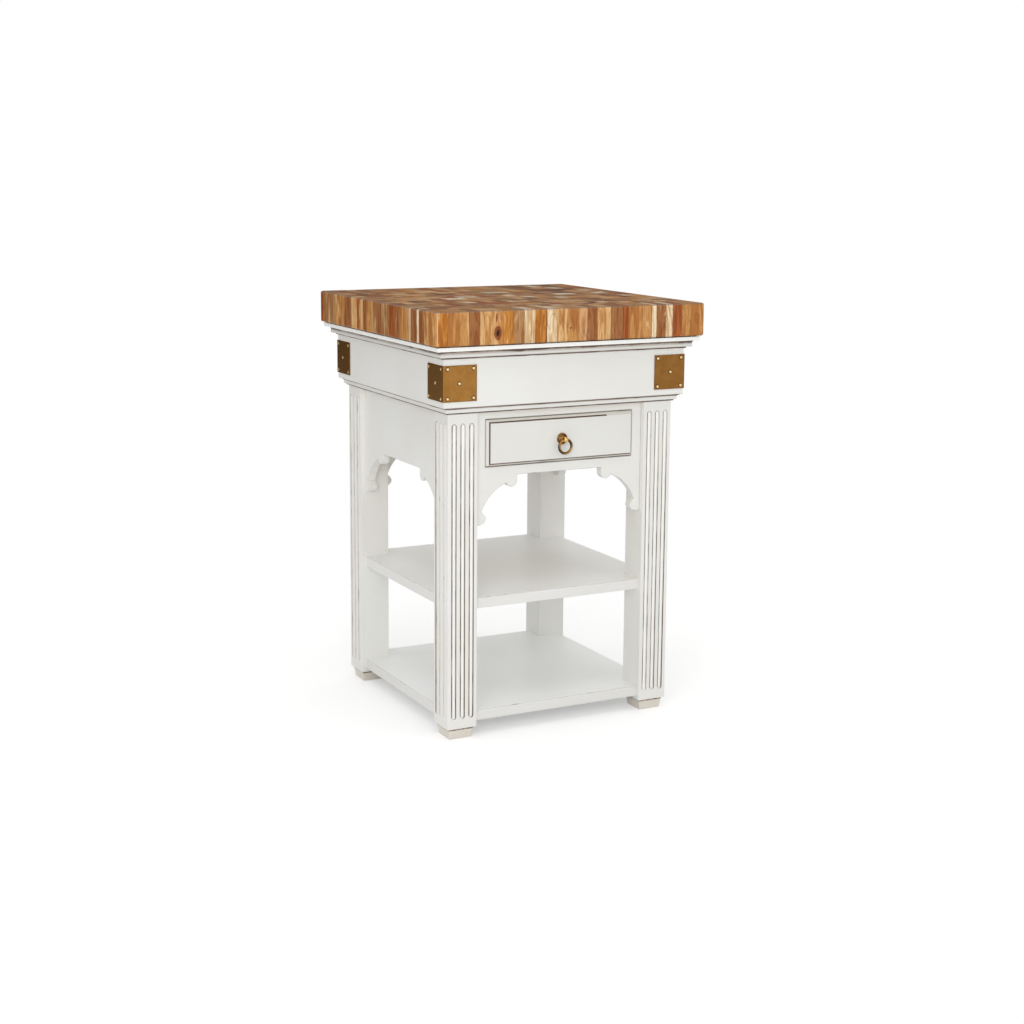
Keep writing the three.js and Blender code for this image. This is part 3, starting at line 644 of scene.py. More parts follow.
# Glaze and painted shade at each of those places: on a wall that is glazed down its side, on one
# that is glazed near its lip, and on the wall across from either. Below zero the paint is lightened
# to near white as a painted highlight.
WALL_GLAZE_AND_SHADE = (0.0, 1.4, 1.6, 1.2, 0.4, 0.0, -1.0, -1.0, -1.0, -1.0)
LIP_GLAZE_AND_SHADE = (0.0, 1.3, 1.3, 0.5, 0.2, 0.0, 0.0, -0.3, -0.4, -0.4)
FLOOR_GLAZE_AND_SHADE = (0.0, 0.0, 0.0, 0.0, 0.2, 0.4, 1.2, 1.0, -0.6, -1.0)
# How much glaze and painted shade the three flutes of a face hold: on the wall that faces the viewer
# at its low and its high end, on the other wall at its low and its high end, and at the top of the flute
HEAVY_FLUTES = ((1.7, 0.7, 0.45, 0.35, 0.9), (2.2, 0.45, 0.55, 0.35, 0.9), (2.0, 0.8, 0.5, 0.5, 1.0))
FAINT_FLUTES = ((0.7, 0.45, 0.6, 0.45, 0.5), (1.3, 0.45, 0.65, 0.5, 0.7), (2.0, 0.45, 0.65, 0.5, 0.7))
GREY_FLUTES = ((0.6, 0.6, 0.3, 0.3, 0.4), (0.6, 0.6, 0.3, 0.3, 0.4), (0.7, 0.7, 0.3, 0.3, 0.4))
EDGE_FLUTES = ((0.5, 0.35, 0.3, 0.2, 0.7), (0.6, 0.35, 0.3, 0.2, 0.7), (2.2, 0.9, 0.4, 0.3, 0.9))
# For each corner its two fluted faces as they lie before the leg is turned, first the one along X:
# the side of each flute, 1 or -1, on which the wall faces the viewer, the glaze and painted shade
# there, and the flutes
LEG_FLUTES = {
    "front_left": ((1, WALL_GLAZE_AND_SHADE, HEAVY_FLUTES), (1, LIP_GLAZE_AND_SHADE, EDGE_FLUTES)),
    "front_right": ((1, LIP_GLAZE_AND_SHADE, GREY_FLUTES), (-1, WALL_GLAZE_AND_SHADE, FAINT_FLUTES[::-1])),
    "back_right": ((1, WALL_GLAZE_AND_SHADE, FAINT_FLUTES), (1, LIP_GLAZE_AND_SHADE, GREY_FLUTES)),
    "back_left": ((-1, LIP_GLAZE_AND_SHADE, GREY_FLUTES[::-1]), (1, WALL_GLAZE_AND_SHADE, FAINT_FLUTES)),
}


def capsule_outline(centre, radius, low, high):
    """Points of a flute's outline, as (across, up), from its lower left corner round by the right."""
    points = []
    for start, level in ((math.pi, low), (0, high)):
        for step in range(FLUTE_STEPS + 1):
            angle = start + math.pi * step / FLUTE_STEPS
            points.append((centre + radius * math.cos(angle), level + radius * math.sin(angle)))
    return points


class LegBuilder:
    """A leg's mesh in which equal places share one vertex."""

    def __init__(self):
        self.bm = bmesh.new()
        self.glaze_shade_highlight = self.bm.verts.layers.float.new("glaze_shade_highlight")
        self.verts = {}

    def vert(self, x, y, z, glaze_shade_highlight=0.0):
        key = (round(x * 1e6), round(y * 1e6), round(z * 1e6))
        if key not in self.verts:
            self.verts[key] = self.bm.verts.new((x, y, z))
            self.verts[key][self.glaze_shade_highlight] = glaze_shade_highlight
        return self.verts[key]

    def face(self, verts):
        kept = list(dict.fromkeys(verts))
        if len(kept) > 2:
            self.bm.faces.new(kept)


def flute_glaze_and_shade(index, facing, seen_share, other_share, amounts):
    """Glaze and painted shade at one point of a flute's outline, from the shares of its two walls at this
    depth. Values below zero ask for a painted highlight.
    """
    upper = index > FLUTE_STEPS
    angle = math.pi * (index - FLUTE_STEPS - 1 if upper else index + FLUTE_STEPS) / FLUTE_STEPS
    seen_low, seen_high, other_low, other_high, top = amounts
    toward = (1 + facing * math.cos(angle)) / 2
    if min(seen_share, other_share) < 0:
        return seen_share * toward + other_share * (1 - toward)
    if upper:
        along = seen_high * seen_share * toward + other_high * other_share * (1 - toward)
        return max(along, top * seen_share * math.sin(angle) ** 3)
    along = seen_low * seen_share * toward + other_low * other_share * (1 - toward)
    return along * (1 + FLUTE_FOOT_LOSS * math.sin(angle))


def fluted_face(leg, place, facing, seen_glaze_and_shade, flutes):
    """One outer face of a leg. place(across, up, depth) gives a point of it."""
    def flat(across, up):
        return leg.vert(*place(across, up, 0))

    low, high = leg_low.z, leg_high.z
    flute_low, flute_high = FLUTE_LEVELS
    lip = FLUTE_RADIUS * FLUTE_SHARES[0][0]
    for flute, amounts in enumerate(flutes):
        centre = (flute - 1) * FLUTE_PITCH
        left, right = FLUTE_BORDERS[flute:flute + 2]
        outline = capsule_outline(centre, lip, flute_low, flute_high)
        lower = [flat(*point) for point in outline[:FLUTE_STEPS + 1]]
        upper = [flat(*point) for point in outline[FLUTE_STEPS + 1:]]
        leg.face([flat(left, flute_low), lower[0], upper[-1], flat(left, flute_high)])
        leg.face([lower[-1], flat(right, flute_low), flat(right, flute_high), upper[0]])
        below = [flat(left, low), flat(right, low), flat(right, flute_low)]
        leg.face(below + lower[::-1] + [flat(left, flute_low)])
        above = [flat(right, high), flat(left, high), flat(left, flute_high)]
        leg.face(above + upper[::-1] + [flat(right, flute_high)])
        rings = []
        for (radius_share, depth_share), *shares in zip(FLUTE_SHARES, seen_glaze_and_shade, FLOOR_GLAZE_AND_SHADE):
            points = capsule_outline(centre, FLUTE_RADIUS * radius_share, flute_low, flute_high)
            ring = []
            for index, (across, up) in enumerate(points):
                glaze_shade_highlight = flute_glaze_and_shade(index, facing, *shares, amounts)
                ring.append(leg.vert(*place(across, up, FLUTE_DEPTH * depth_share), glaze_shade_highlight))
            rings.append(ring)
        for outer, inner in zip(rings, rings[1:]):
            for index in range(len(outer)):
                after = (index + 1) % len(outer)
                leg.face([outer[index], outer[after], inner[after], inner[index]])


def fluted_leg(corner, degrees, material):
    ends = (leg_low.z, leg_high.z)
    outer, inner = leg_low.x, leg_high.x
    leg = LegBuilder()
    along_x, along_y = LEG_FLUTES[corner]
    fluted_face(leg, lambda across, up, depth: (leg_centre + across, outer + depth, up), *along_x)
    fluted_face(leg, lambda across, up, depth: (outer + depth, leg_centre + across, up), *along_y)
    core = [leg.vert(inner, inner, z) for z in reversed(ends)]
    levels = (ends[0], *FLUTE_LEVELS, ends[1])
    leg.face([leg.vert(inner, outer, z) for z in levels] + core)
    leg.face([leg.vert(outer, inner, z) for z in levels] + core)
    for z in ends:
        along_front = [leg.vert(leg_centre + across, outer, z) for across in FLUTE_BORDERS]
        along_side = [leg.vert(outer, leg_centre + across, z) for across in FLUTE_BORDERS[:0:-1]]
        leg.face(along_front + [leg.vert(inner, inner, z)] + along_side)
    bmesh.ops.recalc_face_normals(leg.bm, faces=leg.bm.faces)
    turned_about(leg.bm, degrees)
    painted_piece(f"fluted_leg_{corner}", leg.bm, material, f"leg_{corner}", LEG_EASE, 70)


# Mouldings and frieze

MITRE_GAP = 0.02 * MM
# The height of each moulding's band, the depth of the soffit under it, the drop and the depth of its
# cove, the height of its fillet and the depth of the step under that
CORNICE_SIZES = (8.4 * MM, 8.5 * MM, 9.5 * MM, 3.4 * MM, 4.5 * MM, 9.6 * MM)
BASE_SIZES = (1 * MM, 0, 6 * MM, 5.6 * MM, 4.5 * MM, 4.4 * MM)
COVE_STEPS = 8
COVE_BOW_SHARE = 0.17
GLAZE_AND_SHADE_STEP = 0.8 * MM
MOULDING_EASE = 0.5 * MM
FRIEZE_EASE = 0.7 * MM
# The creases of each outline that hold glaze and painted shade: the place in it of a point, how
# strong they are there and how far they go. Places below 0 count from the last point.
CORNICE_CREASES = {3: (2.3, 5.6 * MM), 4: (0.5, 3 * MM), -3: (1.95, 11 * MM)}
BASE_CREASES = {3: (2.0, 5 * MM), -2: (2.5, 7 * MM)}
FRIEZE_CREASES = {2: (0.5, 2 * MM)}


def cove(start, end):
    """Points between two ends of a hollow, as (out, up)."""
    start, end = Vector(start), Vector(end)
    chord = end - start
    side = Vector((-chord.y, chord.x)) * COVE_BOW_SHARE
    points = []
    for step in range(1, COVE_STEPS):
        share = step / COVE_STEPS
        points.append(start + chord * share + side * (1 - (2 * share - 1) ** 2))
    return [(point.x, point.y) for point in points]


def with_glaze_and_shade(outline, creases):
    """The outline in short steps, as (out, up, glaze and shade), with glaze and painted shade that fade away
    from creases.
    """
    places = [Vector(point) for point in outline]
    lengths = [(places[(index + 1) % len(places)] - place).length for index, place in enumerate(places)]
    starts = [sum(lengths[:index]) for index in range(len(places))]
    total = sum(lengths)

    def glaze_and_shade_at(distance):
        glaze_shade_highlight = 0.0
        for crease, (strength, spread) in creases.items():
            away = abs(distance - starts[crease])
            glaze_shade_highlight = max(glaze_shade_highlight, strength * (1 - min(away, total - away) / spread))
        return glaze_shade_highlight

    points = []
    for index, place in enumerate(places):
        steps = max(1, math.ceil(lengths[index] / GLAZE_AND_SHADE_STEP))
        for step in range(steps):
            distance = starts[index] + lengths[index] * step / steps
            nearby = [glaze_and_shade_at(distance + way * GLAZE_AND_SHADE_STEP) for way in (-1, 0, 1)]
            if step == 0 or max(nearby) > 0:
                point = place.lerp(places[(index + 1) % len(places)], step / steps)
                points.append((point.x, point.y, glaze_and_shade_at(distance)))
    return points


def mitred_strip(outline, back):
    """A strip along the front with mitred ends, from (distance out of its back, height, glaze and shade)."""
    bm = bmesh.new()
    layer = bm.verts.layers.float.new("glaze_shade_highlight")
    ends = []
    for end in (-1, 1):
        ring = []
        for out, up, glaze_shade_highlight in outline:
            distance = back + out
            vert = bm.verts.new((end * (distance - MITRE_GAP), -distance, up))
            vert[layer] = glaze_shade_highlight
            ring.append(vert)
        ends.append(ring)
    ring_faces(bm, *ends)
    bm.faces.new(ends[0])
    bm.faces.new(ends[1])
    bmesh.ops.recalc_face_normals(bm, faces=bm.faces)
    return bm


def moulding_outline(low, high, sizes, creases):
    """A moulding's outline from the top of its back round by its foot."""
    band, soffit, cove_drop, cove_depth, fillet, step = sizes
    projection = high.y - low.y
    under = projection - soffit
    face = under - cove_depth
    foot = face - step
    band_bottom = high.z - band
    cove_bottom = band_bottom - cove_drop
    fillet_bottom = cove_bottom - fillet
    outline = [
        (0, high.z), (0, low.z), (foot, low.z), (foot, fillet_bottom), (face, fillet_bottom),
        (face, cove_bottom), *cove((face, cove_bottom), (under, band_bottom)),
        (under, band_bottom), (projection, band_bottom), (projection, high.z),
    ]
    return with_glaze_and_shade(list(dict.fromkeys(outline)), creases)


def cornice_outline(low, high):
    """The cornice's outline, with its band lightened to near white as a painted highlight."""
    points = moulding_outline(low, high, CORNICE_SIZES, CORNICE_CREASES)
    edge = high.y - low.y - MITRE_GAP
    return [(out, up, -1.0 if out > edge else glaze_shade_highlight) for out, up, glaze_shade_highlight in points]


def base_outline(low, high):
    return moulding_outline(low, high, BASE_SIZES, BASE_CREASES)


def frieze_outline(low, high):
    depth = high.y - low.y
    return with_glaze_and_shade([(0, high.z), (0, low.z), (depth, low.z), (depth, high.z)], FRIEZE_CREASES)


def mitred_frame(kind, name, outline_of, material, width, angle):
    """Four mitred pieces round the table. Each one's name has its side in it."""
    low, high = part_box(f"{kind}_front")
    for side, degrees in SIDES.items():
        bm = mitred_strip(outline_of(low, high), -high.y)
        turned_about(bm, degrees)
        painted_piece(name.format(side), bm, material[side], f"{kind}_{side}", width, angle)


# Corner plates with domed tacks

PLATE_EDGE = 1.8 * MM
PLATE_EASE = 0.45 * MM
PLATE_SEAT = 0.1 * MM
PLATE_FOLD_REACH = 0.05 * MM
# Tarnish and painted shade along the rims of the plates
PLATE_EDGE_SHADE_AND_TARNISH = 0.55
TACK_RADIUS = 3.8 * MM
TACK_HEIGHT = 2.4 * MM
TACK_FOLD_INSET = 10 * MM
TACK_END_INSET = 7.8 * MM
TACK_LEVEL_INSET = 7 * MM
MIDDLE_TACK_INSET = 36.6 * MM
TACK_SEGMENTS = 20
TACK_RINGS = 6
# Painted shadow lies round each tack, out to this radius
TACK_SHADOW_RADIUS = 4.6 * MM
TACK_SHADOW_HEIGHT = 0.05 * MM
# Painted shade from the shadow round each tack up over its rim; its top keeps the bright tone as a painted
# highlight
TACK_PAINTED_SHADE = (0.9, 1.0, 0.95, 0.8, 0.35, 0.05, 0.0)
# How far painted shade darkens the plates at some of the corners, in place of darker reflections
PLATE_PAINTED_SHADE = {"front_right": 0.34, "back_right": 0.2, "back_left": 0.1}


def dome(bm, layer, centre, outward):
    """A tack's head on a flat face, with a painted shadow round its edge."""
    turn = Vector((0, 0, 1)).rotation_difference(outward).to_matrix()
    profile = [(TACK_SHADOW_RADIUS, 0.0), (TACK_RADIUS, TACK_SHADOW_HEIGHT)]
    for step in range(1, TACK_RINGS):
        angle = math.radians(90 * step / TACK_RINGS)
        profile.append((TACK_RADIUS * math.cos(angle), TACK_HEIGHT * math.sin(angle)))
    profile = [(*place, tarnish_and_shade) for place, tarnish_and_shade in zip(profile, TACK_PAINTED_SHADE)]
    rings = turned_rings(bm, layer, profile, TACK_SEGMENTS, lambda *place: centre + turn @ Vector(place))
    top = bm.verts.new(centre + turn @ Vector((0, 0, TACK_HEIGHT)))
    for index in range(TACK_SEGMENTS):
        bm.faces.new((rings[-1][index], rings[-1][(index + 1) % TACK_SEGMENTS], top))
    bm.faces.new(reversed(rings[0]))


def bent_plate(low, high, outer, inner, painted_shade):
    """A plate over two faces of the frieze, with rims darker than its fields through tarnish and painted
    shade, and painted shade over all of it at some corners.
    """
    bm = bmesh.new()
    layer = bm.faces.layers.float.new("tarnish_and_shade")
    end = high.x
    outline = [(end, outer), (end, inner), (inner, inner), (inner, end), (outer, end), (outer, outer)]
    loops = [[bm.verts.new((x, y, z)) for x, y in outline] for z in (low.z, high.z)]
    ring_faces(bm, *loops)
    bm.faces.new(reversed(loops[0]))
    bm.faces.new(loops[1])
    bmesh.ops.recalc_face_normals(bm, faces=bm.faces)
    enough = 0.9 * (end - outer) * (high.z - low.z)
    leaves = [face for face in bm.faces if face.calc_area() > enough and min(face.normal.xy) < -0.9]
    fold = outer + PLATE_FOLD_REACH
    for face in bmesh.ops.inset_individual(bm, faces=leaves, thickness=PLATE_EDGE)["faces"]:
        on_fold = sum(vert.co.x < fold and vert.co.y < fold for vert in face.verts) == 2
        face[layer] = 0.0 if on_fold else PLATE_EDGE_SHADE_AND_TARNISH
    for face in bm.faces:
        face[layer] = max(face[layer], painted_shade)
    return bm


def plate_tacks(low, high, outer):
    """The tacks on both faces of a plate."""
    bm = bmesh.new()
    layer = bm.verts.layers.float.new("tarnish_and_shade")
    middle = (low.z + high.z) / 2
    far = high.x - outer - TACK_END_INSET
    top, foot = high.z - TACK_LEVEL_INSET, low.z + TACK_LEVEL_INSET
    for along, height in (
        (TACK_FOLD_INSET, top), (far, top), (MIDDLE_TACK_INSET, middle), (TACK_FOLD_INSET, foot), (far, foot),
    ):
        dome(bm, layer, Vector((outer + along, outer, height)), Vector((0, -1, 0)))
        dome(bm, layer, Vector((outer, outer + along, height)), Vector((-1, 0, 0)))
    return bm


def corner_plates(plate_brass, tack_brass):
    low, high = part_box("corner_plate_front_left")
    outer = low.x + TACK_HEIGHT
    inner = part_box("frieze_front")[0].y - PLATE_SEAT
    for corner, degrees in CORNERS.items():
        node = f"corner_plate_{corner}"
        bm = bent_plate(low, high, outer, inner, PLATE_PAINTED_SHADE.get(corner, 0.0))
        turned_about(bm, degrees)
        soften(piece_from(f"brass_plate_{corner}", bm, plate_brass, CARCASS, "brass", node), PLATE_EASE)
        bm = plate_tacks(low, high, outer)
        turned_about(bm, degrees)
        tacks = piece_from(f"brass_tacks_{corner}", bm, tack_brass, CARCASS, "brass", node)
        tacks.data.shade_smooth()


# Drawer front: a raised field inside a sloping rim

RIM_WIDTH = 6.2 * MM
RIM_RISE = 8.4 * MM
RIM_START = 2 * MM
RIM_EASE = 0.2 * MM
TOP_LINE_SHARE = 0.81
# The bands of the rim from the back of the piece to its field. Each has the share of the rim's
# width and rise, a further inset and a further rise at which it ends, and the glaze and painted
# shade on its foot, its right, its top and its left.
RIM_BANDS = (
    (0, 0, 0, (0.5, 0.4, 0.4, 0.1)),
    (0.14, 0, 0, (1.1, 0.3, 0.55, 0.1)),
    (0.3, 0, 0, (0.5, 0.0, 0.0, 0.0)),
    # The foot of this band faces down and gets painted shade
    (0.72, 0, 0, (0.3, 0.0, 0.0, 0.0)),
    (1, 0, 0, (1.6, 0.2, 1.4, 1.6)),
    (1, 0.1 * MM, 0.7 * MM, (2.2, 0.3, 2.0, 1.3)),
    (1, 1.0 * MM, 0.8 * MM, (1.6, 0.0, 1.4, 0.4)),
)


def drawer_front(material):
    low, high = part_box("drawer_front")
    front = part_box("apron_front")[0].y
    bm = bmesh.new()
    layer = bm.faces.layers.float.new("glaze_shade_highlight")

    def loop(inset, y):
        left, right, foot, top = low.x + inset, high.x - inset, low.z + inset, high.z - inset
        return [bm.verts.new((x, y, z)) for x, z in ((left, foot), (right, foot), (right, top), (left, top))]

    loops = [loop(0, high.y), loop(0, front + RIM_START)]
    ring_faces(bm, *loops)
    for share, inset, rise, glaze_shade_highlight in RIM_BANDS:
        loops.append(loop(share * RIM_WIDTH + inset, front - share * RIM_RISE - rise))
        for face, amount in zip(ring_faces(bm, *loops[-2:]), glaze_shade_highlight):
            face[layer] = amount
    bm.faces.new(reversed(loops[0]))
    bm.faces.new(loops[-1])
    bmesh.ops.recalc_face_normals(bm, faces=bm.faces)
    line_end = low.x + TOP_LINE_SHARE * (high.x - low.x)
    split(bm, bm.faces[:], 0, line_end)
    for face in bm.faces:
        centre = face.calc_center_median()
        if centre.x > line_end and centre.z > high.z - 2 * RIM_WIDTH and centre.y < front - 0.5 * RIM_RISE:
            face[layer] = 0.0
    soften(piece_from("drawer_face", bm, material, DRAWER, "white_paint", "drawer_front"), RIM_EASE, 50)


# Aprons, shelves and feet

ARCH_LINE = 1.1 * MM
ARCH_GLAZE = 0.4
OPENING_MARGIN = 4 * MM
# Glaze and painted shade that widen the dark gap round the drawer
OPENING_GLAZE_AND_SHADE = 0.25
APRON_EASE = 0.6 * MM
SHELF_EDGE = 1.4 * MM
# Glaze and painted shade along the upper edges of the shelves' sides, and painted shade below that
SHELF_EDGE_GLAZE_AND_SHADE = 0.5
SHELF_SIDE_SHADE = 0.17
FOOT_LINE = 4.5 * MM
FOOT_GLAZE = 0.9
BOARD_EASE = 0.8 * MM


def carved_apron(side, material):
    """An apron with glaze along its carved edge, and the front one also with glaze and painted shade round
    the drawer opening.
    """
    node = f"apron_{side}"
    bm, layer = copy_with_glaze_and_shade(node)
    outward = turn_matrix(SIDES[side]) @ Vector((0, -1, 0))
    behind = -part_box("apron_front")[0].y - MM
    flat = [face for face in bm.faces if face.normal.dot(outward) > 0.99]
    flat = [face for face in flat if face.calc_center_median().dot(outward) > behind]
    rims = bmesh.ops.inset_region(bm, faces=flat, thickness=ARCH_LINE, use_even_offset=True)["faces"]
    opening_low, opening_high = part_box("drawer_front")
    for rim in rims:
        height = rim.calc_center_median().z
        if height < opening_low.z - OPENING_MARGIN:
            rim[layer] = ARCH_GLAZE
        elif height < opening_high.z + OPENING_MARGIN and side == "front":
            rim[layer] = OPENING_GLAZE_AND_SHADE
    painted_piece(f"carved_{node}", bm, material, node, APRON_EASE, 40)


def shelf_board(shelf, material):
    """A shelf with a little glaze and painted shade along the upper edges of its sides, and painted shade on
    the rest of them.
    """
    bm, layer = copy_with_glaze_and_shade(shelf)
    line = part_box(shelf)[1].z - SHELF_EDGE
    split(bm, bm.faces[:], 2, line)
    for face in bm.faces:
        if abs(face.normal.z) < 0.5:
            face[layer] = SHELF_EDGE_GLAZE_AND_SHADE if face.calc_center_median().z > line else SHELF_SIDE_SHADE
    painted_piece(f"{shelf}_board", bm, material, shelf, BOARD_EASE, 40)


def tapered_foot(corner, material):
    """A foot with a thin line of glaze where the leg stands on it."""
    node = f"foot_{corner}"
    bm, layer = copy_with_glaze_and_shade(node)
    joint = leg_low.z
    split(bm, bm.faces[:], 2, joint - FOOT_LINE)
    for face in bm.faces:
        if joint - FOOT_LINE < face.calc_center_median().z < joint:
            face[layer] = FOOT_GLAZE
    painted_piece(f"tapered_{node}", bm, material, node, BOARD_EASE, 40)


def painted_boards(paint, brightened_shelf_paint, foot_paint):
    for side, axis in SIDE_AXES.items():
        carved_apron(side, paint[axis])
    for shelf in ("middle_shelf", "bottom_shelf"):
        shelf_board(shelf, brightened_shelf_paint)
    for corner in CORNERS:
        tapered_foot(corner, foot_paint)


# Hidden wood, and the drawer's box

BAR_EASE = 0.6 * MM
PANEL_EASE = 0.4 * MM


def plain_piece(node, name, wood, body, width):
    soften(piece_from(name, copied(node), wood, body, "bare_wood", node), width, 40)


def plain_boards(wood):
    for side, axis in SIDE_AXES.items():
        plain_piece(f"top_rail_{side}", f"rail_{side}", wood[axis], CARCASS, BOARD_EASE)
    for side in ("left", "right"):
        for kind in ("block_cleat", "drawer_runner", "drawer_kicker", "drawer_stop"):
            node = f"{kind}_{side}"
            plain_piece(node, f"{node}_bar", wood[1], CARCASS, BAR_EASE)
        plain_piece(f"drawer_side_{side}", f"drawer_board_{side}", wood[1], DRAWER, BOARD_EASE)
    plain_piece("drawer_back", "drawer_board_back", wood[0], DRAWER, BOARD_EASE)
    plain_piece("drawer_bottom", "drawer_panel", wood[0], DRAWER, PANEL_EASE)


def steel_fixings(steel):
    for corner in CORNERS:
        coat(f"block_screw_{corner}", steel)
    coat("pull_washer", steel)
    coat("pull_nut", steel)


# Ring pull

LATHE_SEGMENTS = 40
RING_SEGMENTS = 56
WIRE_SEGMENTS = 18
AXIS_RADIUS = 0.2 * MM
# The rosette from its rim's back to its front: shares of its radius and of its thickness, and tarnish
ROSETTE_SHARES = (
    (1, 0, 1), (1, 0.16, 0.95), (0.965, 0.27, 0.7), (0.9, 0.34, 0.35), (0.83, 0.3, 0.9),
    (0.79, 0.22, 1), (0.74, 0.24, 0.95), (0.66, 0.36, 0.7), (0.6, 0.52, 0.3), (0.55, 0.64, 0.75),
    (0.48, 0.7, 1), (0.42, 0.82, 0.7), (0.36, 0.95, 0.4), (0.3, 1, 0.6),
)


def lathe(profile, origin):
    """A turned piece about -Y from (radius, distance out of origin, tarnish), closed at its ends."""
    bm = bmesh.new()
    layer = bm.verts.layers.float.new("tarnish_and_shade")
    rings = turned_rings(bm, layer, profile, LATHE_SEGMENTS, lambda x, z, out: origin + Vector((x, -out, z)))
    bm.faces.new(rings[0])
    bm.faces.new(rings[-1])
    bmesh.ops.remove_doubles(bm, verts=bm.verts, dist=SAME_PLACE)
    bmesh.ops.recalc_face_normals(bm, faces=bm.faces)
    return bm


def rosette(material):
    low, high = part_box("pull_rosette")
    centre = (low + high) / 2
    thickness = high.y - low.y
    turned = [(high.x * radius, thickness * out, tarnish_and_shade) for radius, out, tarnish_and_shade in ROSETTE_SHARES]
    profile = [(AXIS_RADIUS, 0, 0), *turned, (AXIS_RADIUS, thickness, 0.6)]
    bm = lathe(profile, Vector((centre.x, high.y, centre.z)))
    piece_from("rosette", bm, material, DRAWER, "brass", "pull_rosette").data.shade_smooth()


def ring_handle(material):
    """The ring, with painted shade on its inner and outer sides and more of it to one side, so that its front
    and back stay bright as a painted highlight.
    """
    low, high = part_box("pull_ring")
    wire = (high.y - low.y) / 2
    middle = Vector((0, (high.y + low.y) / 2, (high.z + low.z) / 2))
    bm = bmesh.new()
    layer = bm.verts.layers.float.new("tarnish_and_shade")
    loops = []
    for step in range(RING_SEGMENTS):
        angle = 2 * math.pi * step / RING_SEGMENTS
        out = Vector((math.cos(angle), 0, math.sin(angle)))
        # Painted shade on two opposite quarters of the ring
        shaded_side = 0.3 - 0.3 * math.cos(2 * angle + math.pi / 2)
        loop = []
        for segment in range(WIRE_SEGMENTS):
            way = 2 * math.pi * segment / WIRE_SEGMENTS
            offset = out * (high.x - wire + wire * math.cos(way)) + Vector((0, wire * math.sin(way), 0))
            vert = bm.verts.new(middle + offset)
            # Painted shade on the inner and outer sides of the wire
            edge = max(-math.cos(way), 0.9 * math.cos(way))
            vert[layer] = min(1.0, edge + shaded_side)
            loop.append(vert)
        loops.append(loop)
    for here, following in zip(loops, loops[1:] + loops[:1]):
        ring_faces(bm, here, following)
    bmesh.ops.recalc_face_normals(bm, faces=bm.faces)
    piece_from("ring_handle", bm, material, RING, "brass", "pull_ring").data.shade_smooth()


# Stage: floor, light and camera

FLOOR_HALF = 30
FLOOR_LIFT = 0.3
FLOOR_FADE_START = 0.7
FLOOR_FADE_END = 1.9
WORLD_LIGHT = 0.7
# Each light's place, the place that it faces, its size and its watts
LIGHTS = {
    "key": ((-2.2, -3.4, 1.7), (0, 0, 0.5), 2.0, 43),
    "overhead": ((0, -0.4, 3.4), (0, 0, 0.5), 3.0, 26),
}
CARD_PLACE = (-1.7, 2.3, 0.4)
CARD_TARGET = (-0.29, -0.25, 0.76)
CARD_SIZE = (4, 3, 1)


def floor_material():
    """A pale floor that keeps the table's shadow and fades to the white of the backdrop farther out."""
    shader = new_shader("floor")
    place = shader.place()
    seen = shader.background_rays()
    far = shader.times(shader.step(shader.length(place), FLOOR_FADE_START, FLOOR_FADE_END), seen)
    lift = shader.add("ShaderNodeEmission", {"Strength": shader.times(seen, FLOOR_LIFT)})
    white = shader.add("ShaderNodeEmission", {"Strength": 1.0})
    mottled = shader.noise(place, 3, 2)
    shader.finish(
        Base_Color=shader.mix(shader.span(mottled, 0, 0.1), *FLOOR),
        Roughness=0.9,
        Specular_IOR_Level=0.0,
    )
    near = shader.add("ShaderNodeAddShader", {0: shader.surface.outputs["BSDF"], 1: lift.outputs["Emission"]})
    whole = shader.add("ShaderNodeMixShader", {0: far, 1: near.outputs["Shader"], 2: white.outputs[0]})
    shader.put(shader.tree.nodes["Material Output"], "Surface", whole.outputs["Shader"])
    return shader.owner


def stage_floor():
    bm = bmesh.new()
    bmesh.ops.create_grid(bm, x_segments=1, y_segments=1, size=FLOOR_HALF)
    floor = object_from("floor", bm, floor_material())


def studio_world():
    """White to the eye, and softer as light."""
    world = bpy.data.worlds.new("studio")
    bpy.context.scene.world = world
    shader = Shader(world, "Background")
    level = shader.span(shader.background_rays(), WORLD_LIGHT, 1.0)
    shader.finish(Color=(1, 1, 1, 1), Strength=level)


def aimed(thing, place, target, side):
    """Puts a thing in its place and turns one side of it to the target."""
    thing.location = place
    thing.rotation_euler = (Vector(target) - Vector(place)).to_track_quat(side, "Y").to_euler()


def soft_light(name, place, target, size, watts):
    data = bpy.data.lights.new(name, "AREA")
    data.size = size
    data.energy = watts
    aimed(new_object(name, data), place, target, "-Z")


def reflection_card(name):
    """A dark card that only reflections see, as the dim side of a studio."""
    bm = bmesh.new()
    bmesh.ops.create_grid(bm, x_segments=1, y_segments=1, size=0.5)
    bmesh.ops.scale(bm, vec=CARD_SIZE, verts=bm.verts)
    shader = new_shader(name)
    cloudy = shader.noise(shader.place(), 2, 2)
    shader.finish(Base_Color=shader.mix(cloudy, *CARD), Roughness=1.0)
    card = object_from(name, bm, shader.owner)
    aimed(card, CARD_PLACE, CARD_TARGET, "Z")
    for kind in ("camera", "diffuse", "transmission", "volume_scatter", "shadow"):
        setattr(card, f"visible_{kind}", False)


CAMERA_PLACE = Vector((-1.7654, -3.44576, 1.20914))
CAMERA_YAW = math.radians(27.37)
CAMERA_PITCH = math.radians(9.43)
CAMERA_ROLL = math.radians(0.43)
IMAGE_SIDE = 1024
FOCAL_PIXELS = 1729.78
CENTRE_ROW = 450
SENSOR = 36


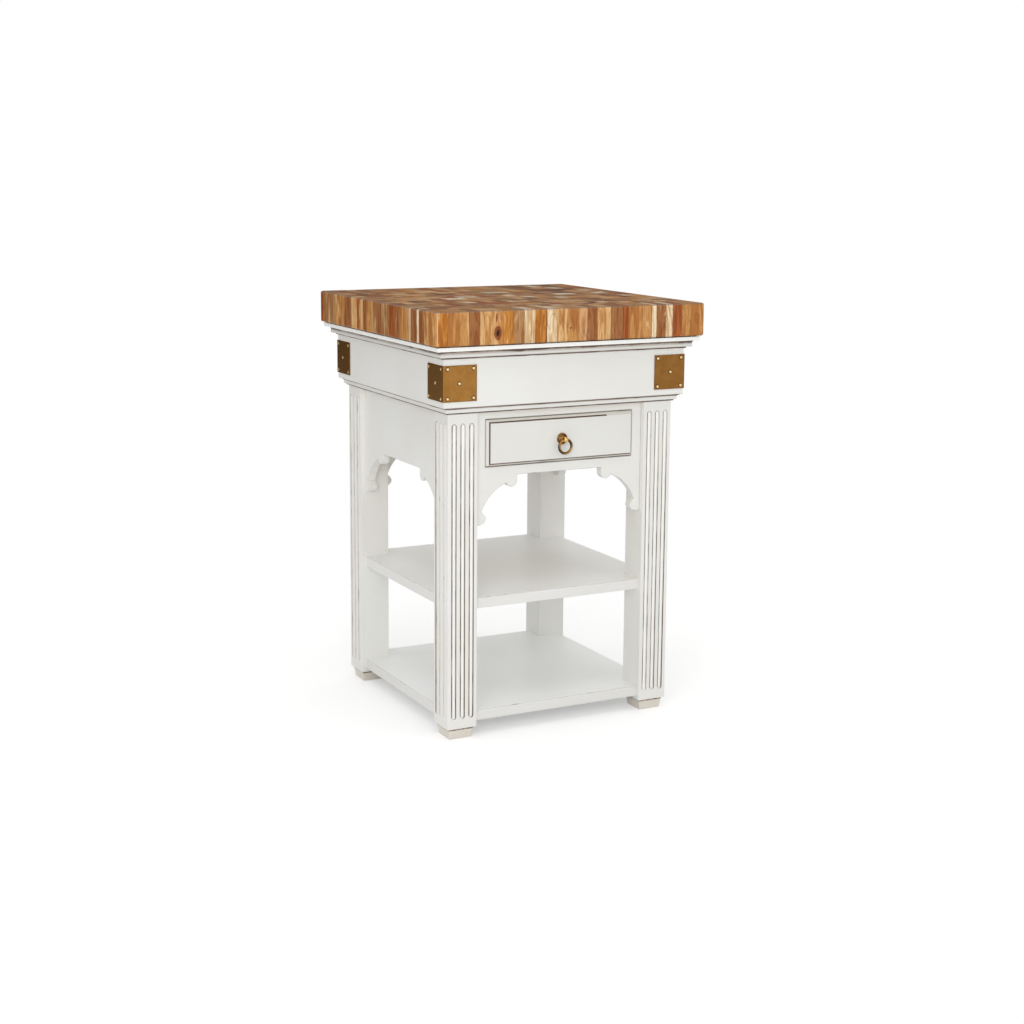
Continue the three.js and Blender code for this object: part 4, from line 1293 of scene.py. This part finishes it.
def photo_camera():
    """The camera of the photograph: where it stood, which way it looked and how wide."""
    data = bpy.data.cameras.new("camera")
    data.sensor_width = SENSOR
    data.lens = FOCAL_PIXELS / IMAGE_SIDE * SENSOR
    data.shift_y = (CENTRE_ROW - IMAGE_SIDE / 2) / IMAGE_SIDE
    yaw = Matrix.Rotation(-CAMERA_YAW, 4, "Z")
    pitch = Matrix.Rotation(math.pi / 2 - CAMERA_PITCH, 4, "X")
    roll = Matrix.Rotation(CAMERA_ROLL, 4, "Z")
    camera = new_object("camera", data)
    camera.matrix_world = Matrix.Translation(CAMERA_PLACE) @ yaw @ pitch @ roll
    bpy.context.scene.camera = camera


# The whole table

paint = [painted_wood(f"white_paint_{axis}", index) for index, axis in enumerate("xyz")]
wood = [plain_wood(f"plain_wood_{axis}", index) for index, axis in enumerate("xyz")]
brass = antique_brass("antique_brass", *BRASS, 0.4)
tack_brass = antique_brass("tack_brass", *TACK_BRASS, 0.25)
bronze = antique_brass("pull_bronze", *BRONZE, 0.14)
paint_of_side = {side: paint[axis] for side, axis in SIDE_AXES.items()}

butcher_block()
for corner, degrees in CORNERS.items():
    fluted_leg(corner, degrees, paint[2])
mitred_frame("cornice", "cornice_{}_strip", cornice_outline, paint_of_side, MOULDING_EASE, 40)
mitred_frame("base_moulding", "base_moulding_{}_strip", base_outline, paint_of_side, MOULDING_EASE, 40)
mitred_frame("frieze", "frieze_board_{}", frieze_outline, paint_of_side, FRIEZE_EASE, 35)
corner_plates(brass, tack_brass)
painted_boards(
    paint,
    painted_wood("brightened_shelf_paint", 0, BRIGHTENED_SHELF_PAINT),
    painted_wood("warm_foot_paint", 2, WARM_FOOT_PAINT),
)
drawer_front(painted_wood("drawer_paint", 0, DRAWER_PAINT))
plain_boards(wood)
steel_fixings(plated_steel("plated_steel"))
rosette(bronze)
ring_handle(bronze)
coat("pull_knob", bronze)

stage_floor()
studio_world()
for name, setting in LIGHTS.items():
    soft_light(name, *setting)
reflection_card("left_card")
photo_camera()

scene = bpy.context.scene
scene.view_settings.view_transform = "Standard"
